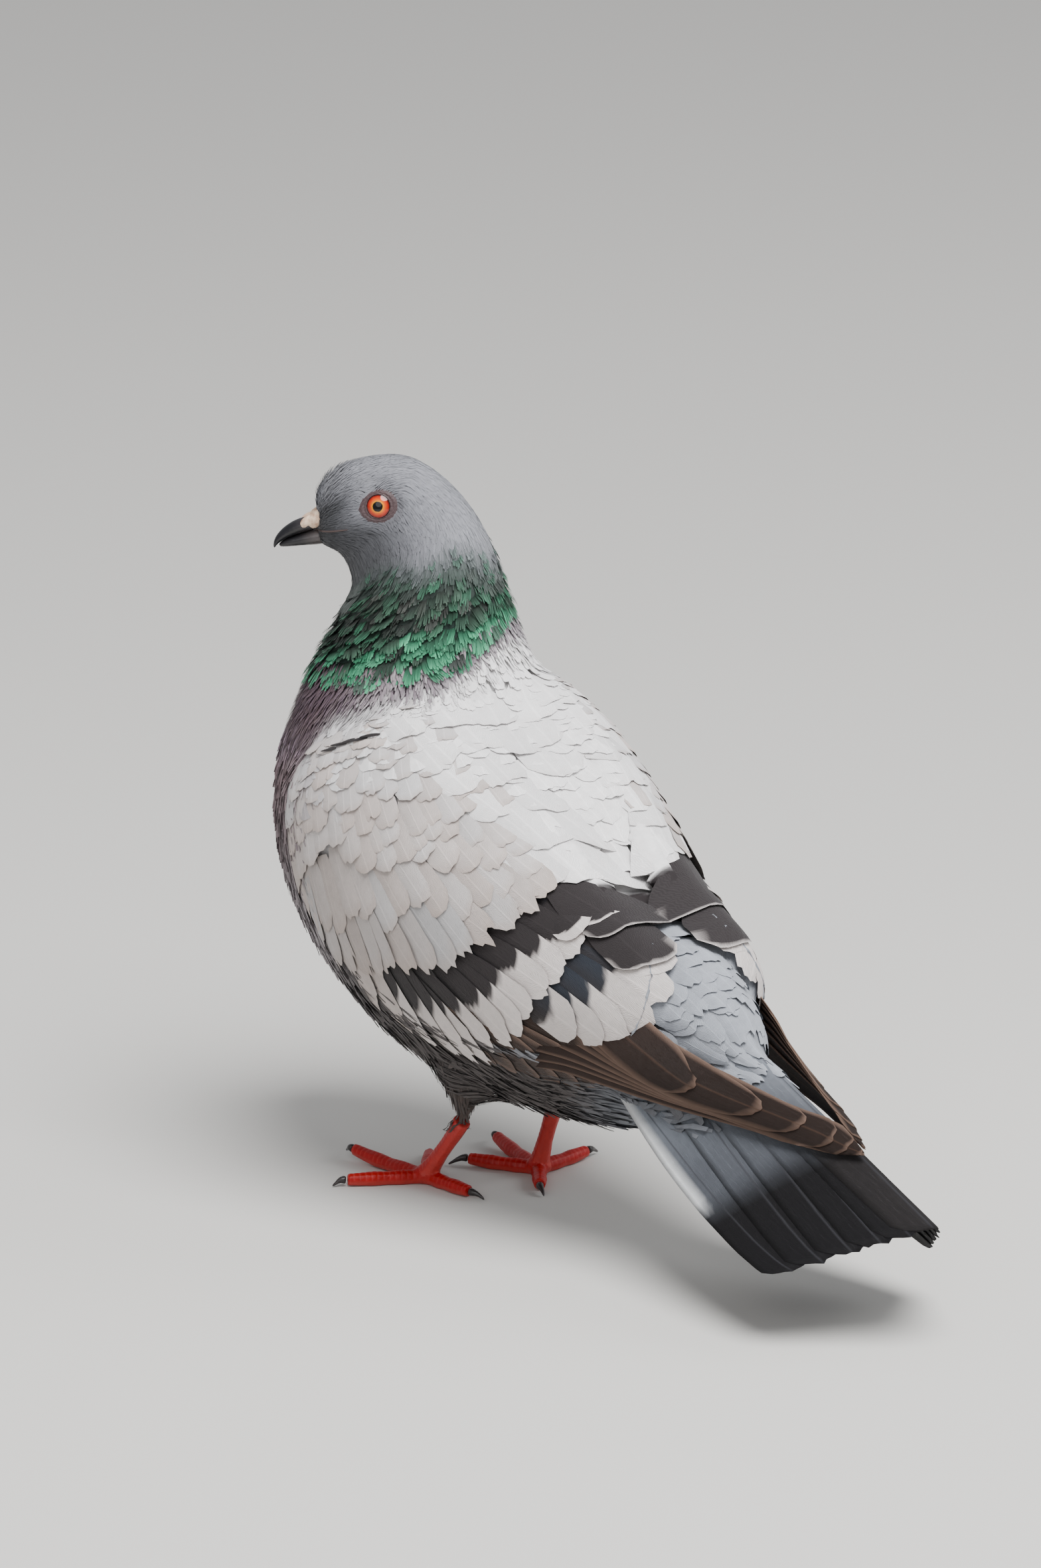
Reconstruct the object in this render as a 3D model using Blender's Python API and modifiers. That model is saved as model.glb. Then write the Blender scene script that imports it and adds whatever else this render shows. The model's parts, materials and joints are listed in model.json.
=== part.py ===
"""A feral pigeon, life size, as a still museum model: it stands on both feet and looks to its left.

Frame: +Z up, the beak side towards -Y, the bird's left towards +X, in metres.
The bird is laid out round the middle of its stance and then centred on its own footprint.
"""

import math

import bmesh
import bpy
from mathutils import Matrix, Vector
from mathutils.bvhtree import BVHTree

MM = 0.001

# Driving dimensions
GAP = 0.35 * MM  # clear space left between two solids that meet
RING_SIDES = 16
BED_CLEARANCE = 1.6 * MM  # between the body and the underside of a folded wing
WING_THICKNESS = 4.8 * MM
WING_RIM = 0.3  # the wing's thickness at its rim, as a share of the middle's
TAIL_THICKNESS = 1.8 * MM
PRIMARIES_THICKNESS = 2.4 * MM

HEAD_CENTRE = Vector((4.5, -36.0, 196.5)) * MM
HEAD_TURN = 50.0  # degrees that the head looks round to the bird's left
BILL_DROP = 16.0  # degrees that the bill points below the horizontal
CERE_RADII = (3.7, 3.4, 2.6)
EYE_PLACE = (3.0, 4.6, 7.0)  # ahead, above and aside from the head's centre, in mm
EYE_RADIUS = 5.6 * MM

NECK_TOP = (Vector((0.5, -25.0, 180.0)) * MM, 40.0, 64.0)  # where head and neck part: place, turn, pitch
NECK_BASE = (Vector((0.0, -27.0, 150.0)) * MM, 4.0, 80.0)  # where neck and trunk part

TOE_RADIUS = 2.25 * MM
TOE_SOLE = 0.82  # a toe's axis runs this share of its radius above the floor
TARSUS_RADIUS = 2.5 * MM
FOOT_HEIGHT = 7.5 * MM  # the tarsus parts from the foot here
HUB_RADII = (3.9, 3.9, 3.2)  # the pad where the toes meet
FLOOR_BLOCK = 0.2  # side of the block that planes the soles flat

# Sections of the head: distance ahead of its centre and above it, pitch, then dorsal, ventral and
# side radii
HEAD_SECTIONS = [
    (21.8, 0.8, -8.0, 11.4, 4.8, 3.8),
    (20.6, 1.8, 8.0, 15.8, 7.2, 6.0),
    (17.5, 2.8, 20.0, 18.4, 9.8, 8.6),
    (12.0, 3.6, 24.0, 17.6, 13.8, 11.0),
    (5.0, 4.0, 30.0, 16.6, 18.2, 12.8),
    (-2.0, 3.2, 34.0, 13.8, 25.4, 13.8),
]
# Sections of the neck and trunk: centre, turn, pitch, dorsal, ventral and side radii, and how far
# the folded wings stand off the body there
BODY_SECTIONS = [
    ((1.5, -27.5, 191.0), 48.0, 44.0, 18.4, 26.0, 15.6, 0.0),
    ((0.5, -25.0, 181.0), 40.0, 64.0, 22.0, 27.0, 19.5, 0.0),
    ((0.0, -26.0, 169.0), 24.0, 80.0, 26.0, 29.5, 25.0, 0.0),
    ((0.0, -28.0, 155.0), 8.0, 84.0, 31.0, 36.5, 31.5, 0.0),
    ((0.0, -27.0, 139.0), 0.0, 76.0, 36.0, 50.0, 39.5, 0.0),
    ((0.0, -20.0, 122.0), 0.0, 64.0, 44.0, 64.5, 46.5, 0.0),
    ((0.0, -8.0, 106.0), 0.0, 53.0, 50.0, 71.5, 48.0, 0.0),
    ((0.0, 8.0, 92.0), 0.0, 45.0, 51.0, 68.5, 46.0, 1.0),
    ((0.0, 25.0, 79.0), 0.0, 40.0, 48.5, 61.0, 41.5, 3.0),
    ((0.0, 44.0, 68.0), 0.0, 36.0, 42.5, 49.0, 35.0, 4.0),
    ((0.0, 63.0, 62.0), 0.0, 33.0, 41.0, 39.0, 28.5, 4.5),
    ((0.0, 81.0, 63.0), 0.0, 30.0, 34.0, 39.0, 23.5, 5.0),
    ((0.0, 96.0, 61.0), 0.0, 32.0, 27.5, 30.0, 19.5, 6.5),
    ((0.0, 108.0, 59.0), 0.0, 33.0, 20.0, 18.0, 14.5, 8.0),
    ((0.0, 115.0, 57.0), 0.0, 33.0, 10.0, 8.0, 8.0, 8.0),
]

# The left folded wing's outline, laid on the body: from the shoulder down its front edge, along its
# lower edge, round its end and back along the bird's back
WING_OUTLINE = [
    (31.0, -24.0, 131.0), (36.0, -39.0, 118.0), (42.0, -36.0, 104.0), (45.0, -30.0, 90.0),
    (46.0, -20.0, 72.0), (44.0, -7.0, 58.0), (42.0, 12.0, 53.0), (41.0, 30.0, 53.0),
    (40.0, 46.0, 53.0), (34.0, 69.0, 55.0), (27.0, 86.0, 60.0), (22.0, 96.0, 69.0),
    (16.0, 99.0, 79.0), (12.0, 94.0, 94.0), (12.0, 78.0, 108.0), (13.0, 60.0, 120.0),
    (14.0, 40.0, 133.0), (15.0, 20.0, 144.0), (17.0, 7.0, 150.0), (23.0, -6.0, 143.0),
]
FLANK_SLOPE = 30.0  # degrees above the horizontal of the line square to the flank
WING_RIM_POINTS = 32
WING_DROP = -0.2  # fall of the wing's middle line, seen square to the flank
WING_RINGS = 5

# Edges of the left wing's closed primaries, from under the coverts to the tip
PRIMARIES_TOP = [
    (17.0, 84.0, 89.0), (16.0, 101.0, 82.0), (12.5, 116.0, 76.0), (8.5, 127.0, 70.5),
    (2.6, 147.6, 60.6), (1.4, 158.0, 57.6), (1.2, 165.5, 53.4), (1.6, 170.5, 50.6),
]
PRIMARIES_BOTTOM = [
    (36.0, 62.0, 57.0), (33.0, 74.0, 57.0), (28.5, 91.0, 54.5), (23.0, 108.5, 52.0),
    (16.0, 134.5, 51.0), (10.0, 154.0, 50.0), (6.5, 163.0, 49.4), (2.4, 170.6, 50.2),
]
PRIMARIES_BULGE = 3.0  # how far the bundle swells between its edges, in mm
RIGHT_REACH = 0.965  # the right primaries' length, as a share of the left ones'

# Each half of the tail, from the middle feather to the outermost: (x, y, z) of the root and tip
TAIL_RIDGE = ((0.0, 92.0, 82.0), (0.0, 199.5, 36.0))
TAIL_EDGE = {
    "left": ((19.0, 76.0, 53.0), (33.5, 173.0, 24.0)),
    "right": ((-19.0, 76.0, 53.0), (-21.5, 174.0, 19.0)),
}
TAIL_SAG = 3.5  # how far the outermost feathers hang below a straight line, in mm
SIDE_FEATHERS = 5  # tail feathers on each side of the middle pair
TAIL_STEPS = 6

# Feet: where each stands, and each toe's end from there, then its claw's tip, in mm
FEET = {
    "left": {
        "hub": (15.2, -7.2),
        "ankle": (15.0, 11.5, 26.5),
        "toes": [
            ((-0.3, 19.0, 2.0), (-1.6, 24.4, 0.5)),
            ((-14.0, -15.5, 2.0), (-17.6, -19.5, 0.5)),
            ((3.0, -29.5, 3.4), (1.2, -35.6, 1.2)),
            ((20.0, -12.0, 2.0), (24.2, -13.8, 0.5)),
        ],
    },
    "right": {
        "hub": (-15.0, 7.8),
        "ankle": (-15.0, 16.5, 28.0),
        "toes": [
            ((10.2, 12.6, 2.0), (13.2, 18.0, 0.5)),
            ((11.0, -18.6, 2.4), (15.6, -22.6, 0.6)),
            ((-6.6, -27.0, 3.4), (-9.6, -32.8, 1.2)),
            ((-20.0, -2.0, 2.4), (-25.6, -3.4, 0.6)),
        ],
    },
}
TOE_SWELL = (1.16, 1.0, 1.08, 0.94, 1.04, 0.92, 0.8)  # joints along a toe, as shares of its radius


# ---------------------------------------------------------------- helpers

def clear_scene():
    for item in list(bpy.data.objects):
        bpy.data.objects.remove(item)


def new_collection(name, hidden=False):
    made = bpy.data.collections.new(name)
    bpy.context.scene.collection.children.link(made)
    made.hide_render = hidden
    return made


def material(name, colour, roughness):
    made = bpy.data.materials.new(name)
    made.use_nodes = True
    shader = made.node_tree.nodes["Principled BSDF"]
    shader.inputs["Base Color"].default_value = (*colour, 1.0)
    shader.inputs["Roughness"].default_value = roughness
    shader.inputs["Metallic"].default_value = 0.0
    made.diffuse_color = (*colour, 1.0)
    return made


def mm(point):
    return Vector(point) * MM


def add_object(name, mesh, collection, finish=None):
    made = bpy.data.objects.new(name, mesh)
    collection.objects.link(made)
    if finish:
        mesh.materials.clear()
        mesh.materials.append(finish)
    return made


def mesh_object(name, bm, collection, finish=None):
    mesh = bpy.data.meshes.new(name)
    bm.to_mesh(mesh)
    bm.free()
    return add_object(name, mesh, collection, finish)


def evaluated_copy(source, name, collection, finish=None):
    """A plain mesh object of what source looks like with its modifiers, its caps welded."""
    bpy.context.view_layer.update()
    graph = bpy.context.evaluated_depsgraph_get()
    mesh = bpy.data.meshes.new_from_object(source.evaluated_get(graph))
    bm = bmesh.new()
    bm.from_mesh(mesh)
    bmesh.ops.remove_doubles(bm, verts=bm.verts, dist=0.01 * MM)
    bmesh.ops.recalc_face_normals(bm, faces=bm.faces)
    bm.to_mesh(mesh)
    bm.free()
    made = add_object(name, mesh, collection, finish)
    made.matrix_world = source.matrix_world
    return made


def combine(target, other, operation):
    """A Boolean modifier on target; other is left as a hidden helper."""
    cut = target.modifiers.new(operation.lower(), "BOOLEAN")
    cut.operation = operation
    cut.solver = "EXACT"
    cut.object = other
    other.hide_render = True
    other.display_type = "WIRE"


def smooth(obj, angle=40.0):
    obj.data.shade_smooth()
    obj.data.set_sharp_from_angle(angle=math.radians(angle))


def smooth_path(points, count, closed=False):
    """count points on a Catmull-Rom curve through the given ones."""
    points = [Vector(point) for point in points]
    spans = len(points) if closed else len(points) - 1
    path = []
    for i in range(count):
        place = i * spans / (count if closed else count - 1)
        k = min(int(place), spans - 1)
        t = place - k
        if closed:
            a, b, c, d = (points[(k + n) % len(points)] for n in (-1, 0, 1, 2))
        else:
            b, c = points[k], points[k + 1]
            a = points[k - 1] if k else b * 2 - c
            d = points[k + 2] if k + 2 < len(points) else c * 2 - b
        path.append(0.5 * (2 * b + (c - a) * t + (2 * a - 5 * b + 4 * c - d) * t * t
                           + (3 * b - a - 3 * c + d) * t ** 3))
    return path


def loft(name, rings, collection, levels=1):
    """A closed body through rings of points, capped at both ends, then subdivided."""
    bm = bmesh.new()
    loops = []
    for ring in rings:
        verts = [bm.verts.new(point) for point in ring]
        loops.append([bm.edges.new((verts[i - 1], verts[i])) for i in range(len(verts))])
    for first, second in zip(loops, loops[1:]):
        bmesh.ops.bridge_loops(bm, edges=first + second)
    for end in (loops[0], loops[-1]):
        face = bmesh.ops.contextual_create(bm, geom=end)["faces"]
        bmesh.ops.poke(bm, faces=face)
    bmesh.ops.recalc_face_normals(bm, faces=bm.faces)
    made = mesh_object(name, bm, collection)
    if levels:
        subdivide = made.modifiers.new("smooth", "SUBSURF")
        subdivide.levels = subdivide.render_levels = levels
    return made


def sheet(name, rows, collection):
    """An open surface: a grid whose points are the given rows."""
    across, along = len(rows[0]) - 1, len(rows) - 1
    bm = bmesh.new()
    bmesh.ops.create_grid(bm, x_segments=across, y_segments=along, size=1.0)
    for vert in bm.verts:
        column = round((vert.co.x + 1) / 2 * across)
        row = round((vert.co.y + 1) / 2 * along)
        vert.co = rows[row][column]
    return mesh_object(name, bm, collection)


def thicken(sheet_object, thickness, offset):
    shell = sheet_object.modifiers.new("thickness", "SOLIDIFY")
    shell.thickness = thickness
    shell.offset = offset
    shell.use_even_offset = True
    return shell


def tube(name, points, radii, collection, sides=8):
    """A capped round rod through the points, in mm, with its own radius at each."""
    curve = bpy.data.curves.new(name, "CURVE")
    curve.dimensions = "3D"
    curve.bevel_depth = 1.0
    curve.bevel_resolution = sides // 2 - 2
    curve.use_fill_caps = True
    spline = curve.splines.new("POLY")
    spline.points.add(len(points) - 1)
    for spot, point, radius in zip(spline.points, points, radii):
        spot.co = (*point, 1.0)
        spot.radius = radius
    rod = bpy.data.objects.new(name + "_curve", curve)
    collection.objects.link(rod)
    made = evaluated_copy(rod, name, collection)
    bpy.data.objects.remove(rod)
    return made


# ---------------------------------------------------------------- body form

def section_frame(turn, pitch):
    """Axes of a cross-section: the way the body runs, its dorsal side and its left side."""
    turn, pitch = math.radians(turn), math.radians(pitch)
    back = Vector((-math.sin(turn), math.cos(turn), 0.0))
    up = Vector((0.0, 0.0, 1.0))
    run = back * math.cos(pitch) - up * math.sin(pitch)
    dorsal = back * math.sin(pitch) + up * math.cos(pitch)
    left = Vector((math.cos(turn), math.sin(turn), 0.0))
    return run, dorsal, left


def egg_ring(centre, turn, pitch, radii, sides=RING_SIDES):
    """A ring with its own dorsal, ventral and side radii."""
    dorsal_r, ventral_r, side_r = radii
    _, dorsal, left = section_frame(turn, pitch)
    ring = []
    for i in range(sides):
        angle = 2 * math.pi * i / sides
        rise = math.cos(angle) * (dorsal_r if math.cos(angle) > 0 else ventral_r)
        ring.append(centre + (dorsal * rise + left * math.sin(angle) * side_r) * MM)
    return ring


def head_point(ahead, above=0.0, aside=0.0):
    """A place on the head, from its centre: along the bill's line, up and to the left, in mm."""
    run, dorsal, left = section_frame(HEAD_TURN, -BILL_DROP)
    return HEAD_CENTRE + (dorsal * above - run * ahead + left * aside) * MM


def body_form(name, helpers, wing_lift=False):
    """The whole feathered body in one piece; with wing_lift, what the folded wings lie on."""
    rings = []
    for ahead, above, pitch, *radii in HEAD_SECTIONS:
        rings.append(egg_ring(head_point(ahead, above), HEAD_TURN, pitch, radii))
    for centre, turn, pitch, dorsal_r, ventral_r, side_r, lift in BODY_SECTIONS:
        extra = lift if wing_lift else 0.0
        radii = (dorsal_r + extra, ventral_r, side_r + extra * 0.45)
        rings.append(egg_ring(mm(centre), turn, pitch, radii))
    return evaluated_copy(loft(name + "_cage", rings, helpers), name, helpers)


def slice_between(form, name, planes, collection, finish):
    """The part of a closed form that lies on the inner side of each (place, normal) plane."""
    bm = bmesh.new()
    bm.from_mesh(form.data)
    for place, normal in planes:
        cut = bmesh.ops.bisect_plane(bm, geom=bm.verts[:] + bm.edges[:] + bm.faces[:],
                                     plane_co=place, plane_no=normal, clear_outer=True)
        rim = [item for item in cut["geom_cut"] if isinstance(item, bmesh.types.BMEdge)]
        bmesh.ops.contextual_create(bm, geom=rim)
    bmesh.ops.recalc_face_normals(bm, faces=bm.faces)
    made = mesh_object(name, bm, collection, finish)
    smooth(made)
    return made


def inflated(form, name, distance, helpers):
    made = evaluated_copy(form, name, helpers)
    swell = made.modifiers.new("swell", "DISPLACE")
    swell.strength = distance
    swell.mid_level = 0.0
    return evaluated_copy(made, name + "_cutter", helpers)


# ---------------------------------------------------------------- head

def make_head(form, parts, helpers, finish):
    place, turn, pitch = NECK_TOP
    run, _, _ = section_frame(turn, pitch)
    whole = slice_between(form, "head_whole", [(place - run * GAP / 2, run)], helpers, None)
    for aside in (-1, 1):
        ahead, above, spread = EYE_PLACE
        centre = head_point(ahead, above, aside * spread)
        combine(whole, ball("socket", centre, EYE_RADIUS + GAP, helpers), "DIFFERENCE")
    head = evaluated_copy(whole, "head", parts, finish)
    smooth(head)
    return head


def ball(name, centre, radius, collection, finish=None, scale=(1.0, 1.0, 1.0), axes=None, segments=12):
    bm = bmesh.new()
    bmesh.ops.create_uvsphere(bm, u_segments=segments, v_segments=segments // 2 + 2, radius=radius)
    bmesh.ops.scale(bm, vec=scale, verts=bm.verts)
    if axes:
        bmesh.ops.transform(bm, matrix=axes, verts=bm.verts)
    bmesh.ops.translate(bm, vec=centre, verts=bm.verts)
    made = mesh_object(name, bm, collection, finish)
    smooth(made)
    return made


def make_eyes(parts, finish):
    for side, aside in (("left", 1), ("right", -1)):
        ahead, above, spread = EYE_PLACE
        centre = head_point(ahead, above, aside * spread)
        _, _, left = section_frame(HEAD_TURN, -BILL_DROP)
        axes = left.to_track_quat("Z", "Y").to_matrix().to_4x4()
        ball(side + "_eye", centre, EYE_RADIUS, parts, finish, axes=axes)


# Profile of each half of the bill: distance ahead of the head's centre, its upper and lower
# heights and its half width
UPPER_BILL = [
    (22.4, 5.0, 0.35, 3.2), (24.8, 4.7, 0.1, 2.9), (27.6, 3.9, 0.0, 2.4), (30.6, 3.0, -0.2, 2.0),
    (33.0, 2.0, -0.5, 1.5), (35.0, 0.6, -1.0, 1.0), (35.9, -0.6, -1.5, 0.45),
]
LOWER_BILL = [
    (22.4, 0.0, -4.6, 3.0), (24.8, -0.25, -3.6, 2.6), (27.6, -0.35, -2.7, 2.1),
    (30.6, -0.55, -2.3, 1.6), (32.8, -0.85, -1.9, 1.0), (33.8, -1.0, -1.6, 0.5),
]


def make_bill(name, profile, collection, finish, swell=0.0):
    rings = []
    _, dorsal, left = section_frame(HEAD_TURN, -BILL_DROP)
    for ahead, top, bottom, half_width in profile:
        centre = head_point(ahead, (top + bottom) / 2)
        ring = []
        for i in range(10):
            angle = 2 * math.pi * i / 10
            rise = math.cos(angle) * ((top - bottom) / 2 * MM + swell)
            ring.append(centre + dorsal * rise + left * math.sin(angle) * (half_width * MM + swell))
        rings.append(ring)
    cage = loft(name + "_cage", rings, collection, levels=0)
    made = evaluated_copy(cage, name, collection, finish)
    bpy.data.objects.remove(cage)
    smooth(made)
    return made


def make_cere(head_cutter, parts, helpers, finish):
    """The chalky swelling on the bill's base."""
    run, dorsal, left = section_frame(HEAD_TURN, -BILL_DROP - 14.0)
    axes = Matrix((-run, left, dorsal)).transposed().to_4x4()
    lobe = ball("cere_lobe", head_point(22.9, 3.4), MM, helpers, None, CERE_RADII, axes, 12)
    combine(lobe, head_cutter, "DIFFERENCE")
    combine(lobe, make_bill("bill_cutter", UPPER_BILL, helpers, None, GAP), "DIFFERENCE")
    smooth(evaluated_copy(lobe, "cere", parts, finish))


# ---------------------------------------------------------------- wings and tail

def flank_square():
    slope = math.radians(FLANK_SLOPE)
    return Vector((math.cos(slope), 0.0, math.sin(slope)))


def make_wing(bed, helpers):
    """The left folded wing: a shield of coverts laid on the flank, thick in the middle."""
    square = flank_square()
    along, up = Vector((0.0, 1.0, 0.0)), Vector((-square.z, 0.0, square.x))
    tree = BVHTree.FromObject(bed, bpy.context.evaluated_depsgraph_get())
    outline = smooth_path([mm(point) for point in WING_OUTLINE], WING_RIM_POINTS, closed=True)
    rim = [tree.find_nearest(point) for point in outline]
    rim = [place + normal * BED_CLEARANCE for place, normal, _, _ in rim]
    flat = [Vector((point.dot(along), point.dot(up))) for point in rim]
    middle = sum(flat, Vector((0.0, 0.0))) / len(flat)
    spine = [middle + Vector((1.0, WING_DROP)) * (p.x - middle.x) * 0.5 for p in flat]
    bm = bmesh.new()
    loops = [[bm.verts.new(point) for point in rim]]
    for ring in range(1, WING_RINGS):
        verts = []
        for edge, core in zip(flat, spine):
            place = edge.lerp(core, 0.92 * ring / (WING_RINGS - 1))
            hit, normal, _, _ = tree.ray_cast(along * place.x + up * place.y + square * 0.2, -square)
            verts.append(bm.verts.new(hit + normal * BED_CLEARANCE))
        loops.append(verts)
    edges = [[bm.edges.new((verts[i - 1], verts[i])) for i in range(len(verts))] for verts in loops]
    for first, second in zip(edges, edges[1:]):
        bmesh.ops.bridge_loops(bm, edges=first + second)
    middle = bmesh.ops.contextual_create(bm, geom=edges[-1])["faces"]
    bmesh.ops.triangulate(bm, faces=middle)
    bmesh.ops.recalc_face_normals(bm, faces=bm.faces)
    if sum(face.normal.dot(square) for face in bm.faces) < 0:
        bmesh.ops.reverse_faces(bm, faces=bm.faces)
    made = mesh_object("wing_sheet", bm, helpers)
    shell = thicken(made, WING_THICKNESS, 1.0)
    depth = made.vertex_groups.new(name="depth")
    for ring in range(WING_RINGS):
        members = list(range(ring * WING_RIM_POINTS, (ring + 1) * WING_RIM_POINTS))
        depth.add(members, min(1.0, (ring + 0.2) / 2.0), "REPLACE")
    shell.vertex_group = "depth"
    shell.thickness_vertex_group = WING_RIM
    return made


def make_primaries_sheet(helpers):
    """The left wing's closed primaries: a narrowing curved bundle that lies along the tail's side."""
    steps, columns = 10, 5
    top = smooth_path([mm(p) for p in PRIMARIES_TOP], steps)
    bottom = smooth_path([mm(p) for p in PRIMARIES_BOTTOM], steps)
    rows = []
    for high, low in zip(top, bottom):
        side = (high - low).cross(Vector((0.0, -1.0, 0.0))).normalized()
        width = (high - low).length
        row = []
        for j in range(columns):
            share = j / (columns - 1)
            swell = math.sin(math.pi * share) * PRIMARIES_BULGE * MM * min(1.0, width / (20 * MM))
            row.append(high.lerp(low, share) + side * swell)
        rows.append(row)
    return sheet("primaries_sheet", rows, helpers)


def tail_point(side, spread, along, lift=0.0):
    """A place on the tail's top: spread 0 on its ridge and 1 on its edge, along 0 at the root."""
    ridge_root, ridge_tip = (mm(p) for p in TAIL_RIDGE)
    edge_root, edge_tip = (mm(p) for p in TAIL_EDGE[side])
    root = ridge_root.lerp(edge_root, spread)
    tip = ridge_tip.lerp(edge_tip, spread)
    root.z = ridge_root.z + (edge_root.z - ridge_root.z) * spread ** 1.5
    root.y = ridge_root.y + (edge_root.y - ridge_root.y) * spread ** 1.3
    tip.y = ridge_tip.y + (edge_tip.y - ridge_tip.y) * spread ** 1.2
    point = root.lerp(tip, along)
    point.z += (lift - TAIL_SAG * 4 * along * (1 - along) * spread) * MM
    return point


def make_tail_sheet(helpers):
    """The tail as a roofed fan; its end is scalloped by the tips of the feathers."""
    lines = []
    half = 2 * SIDE_FEATHERS + 1
    for j in range(-half, half + 1):
        side = "left" if j > 0 else "right"
        reach = 1.0 if j % 2 == 0 else 0.965
        if abs(j) == half:
            reach = 0.93
        lines.append([tail_point(side, abs(j) / half, reach * k / TAIL_STEPS)
                      for k in range(TAIL_STEPS + 1)])
    rows = [[line[k] for line in lines] for k in range(TAIL_STEPS + 1)]
    return sheet("tail_sheet", rows, helpers)


def mirrored(source, name, collection, finish=None, length=1.0):
    """The same on the bird's right, its length scaled from its front end."""
    made = evaluated_copy(source, name, collection, finish)
    front = min(vert.co.y for vert in made.data.vertices)
    made.data.transform(Matrix.Translation((0.0, front * (1 - length), 0.0))
                        @ Matrix.Diagonal((-1.0, length, 1.0, 1.0)))
    made.data.flip_normals()
    return made


def make_wings_and_tail(bed, trunk_cutter, parts, helpers, finishes):
    tail = make_tail_sheet(helpers)
    thicken(tail, TAIL_THICKNESS, -1.0)
    combine(tail, trunk_cutter, "DIFFERENCE")
    smooth(evaluated_copy(tail, "tail", parts, finishes["tail"]))
    left_wing = evaluated_copy(make_wing(bed, helpers), "left_wing", parts, finishes["coverts"])
    right_wing = mirrored(left_wing, "right_wing", parts, finishes["coverts"])
    left_bundle = make_primaries_sheet(helpers)
    thicken(left_bundle, PRIMARIES_THICKNESS, 0.0)
    right_bundle = mirrored(left_bundle, "right_bundle", helpers, None, RIGHT_REACH)
    for side, bundle, wing in (("left", left_bundle, left_wing), ("right", right_bundle, right_wing)):
        combine(bundle, inflated(wing, side + "_wing_swollen", GAP, helpers), "DIFFERENCE")
        combine(bundle, trunk_cutter, "DIFFERENCE")
        smooth(evaluated_copy(bundle, side + "_primaries", parts, finishes["primaries"]))
        smooth(wing)


# ---------------------------------------------------------------- legs

# Sections of a feathered thigh, from inside the belly to the ankle: centre on the bird's left,
# from the ankle, then radius, in mm
THIGH_SECTIONS = [
    ((8.0, 4.0, 40.0), 15.0), ((5.5, 4.0, 24.0), 13.5), ((3.0, 2.5, 12.0), 10.0),
    ((1.0, 0.5, 3.0), 6.0), ((0.0, -2.2, -3.0), 4.0), ((0.0, -3.4, -6.0), 3.4),
]
SHANK_START = 0.86  # the bare tarsus parts from the feathered thigh here, from hub to ankle


def shank_plane(side):
    """Where a thigh meets its tarsus: a place and the way from foot to ankle."""
    hub, ankle = mm((*FEET[side]["hub"], 2.5)), mm(FEET[side]["ankle"])
    return hub.lerp(ankle, SHANK_START), (ankle - hub).normalized()


def make_thigh(side, sign, trunk_cutter, parts, helpers, finish):
    rings = []
    ankle = mm(FEET[side]["ankle"])
    for (out, back, up), radius in THIGH_SECTIONS:
        centre = ankle + mm((out * sign, back, up))
        rings.append(egg_ring(centre, 0.0, 75.0, (radius, radius, radius * 0.9), sides=10))
    cage = loft(side + "_thigh_cage", rings, helpers)
    joint, up_leg = shank_plane(side)
    whole = slice_between(evaluated_copy(cage, side + "_thigh_form", helpers), side + "_thigh_whole",
                          [(joint + up_leg * GAP / 2, -up_leg)], helpers, None)
    combine(whole, trunk_cutter, "DIFFERENCE")
    made = evaluated_copy(whole, side + "_thigh", parts, finish)
    smooth(made)


def toe_path(hub, end, steps):
    """A toe's axis from the hub: along the floor, then up to its end's height."""
    start = Vector((hub.x, hub.y, TOE_RADIUS * TOE_SOLE))
    tip = Vector((hub.x + end.x, hub.y + end.y, max(end.z, TOE_RADIUS * 0.7)))
    path = []
    for k in range(steps):
        share = k / (steps - 1)
        point = start.lerp(tip, share)
        point.z = start.z + (tip.z - start.z) * share ** 3
        path.append(point)
    return path


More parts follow.
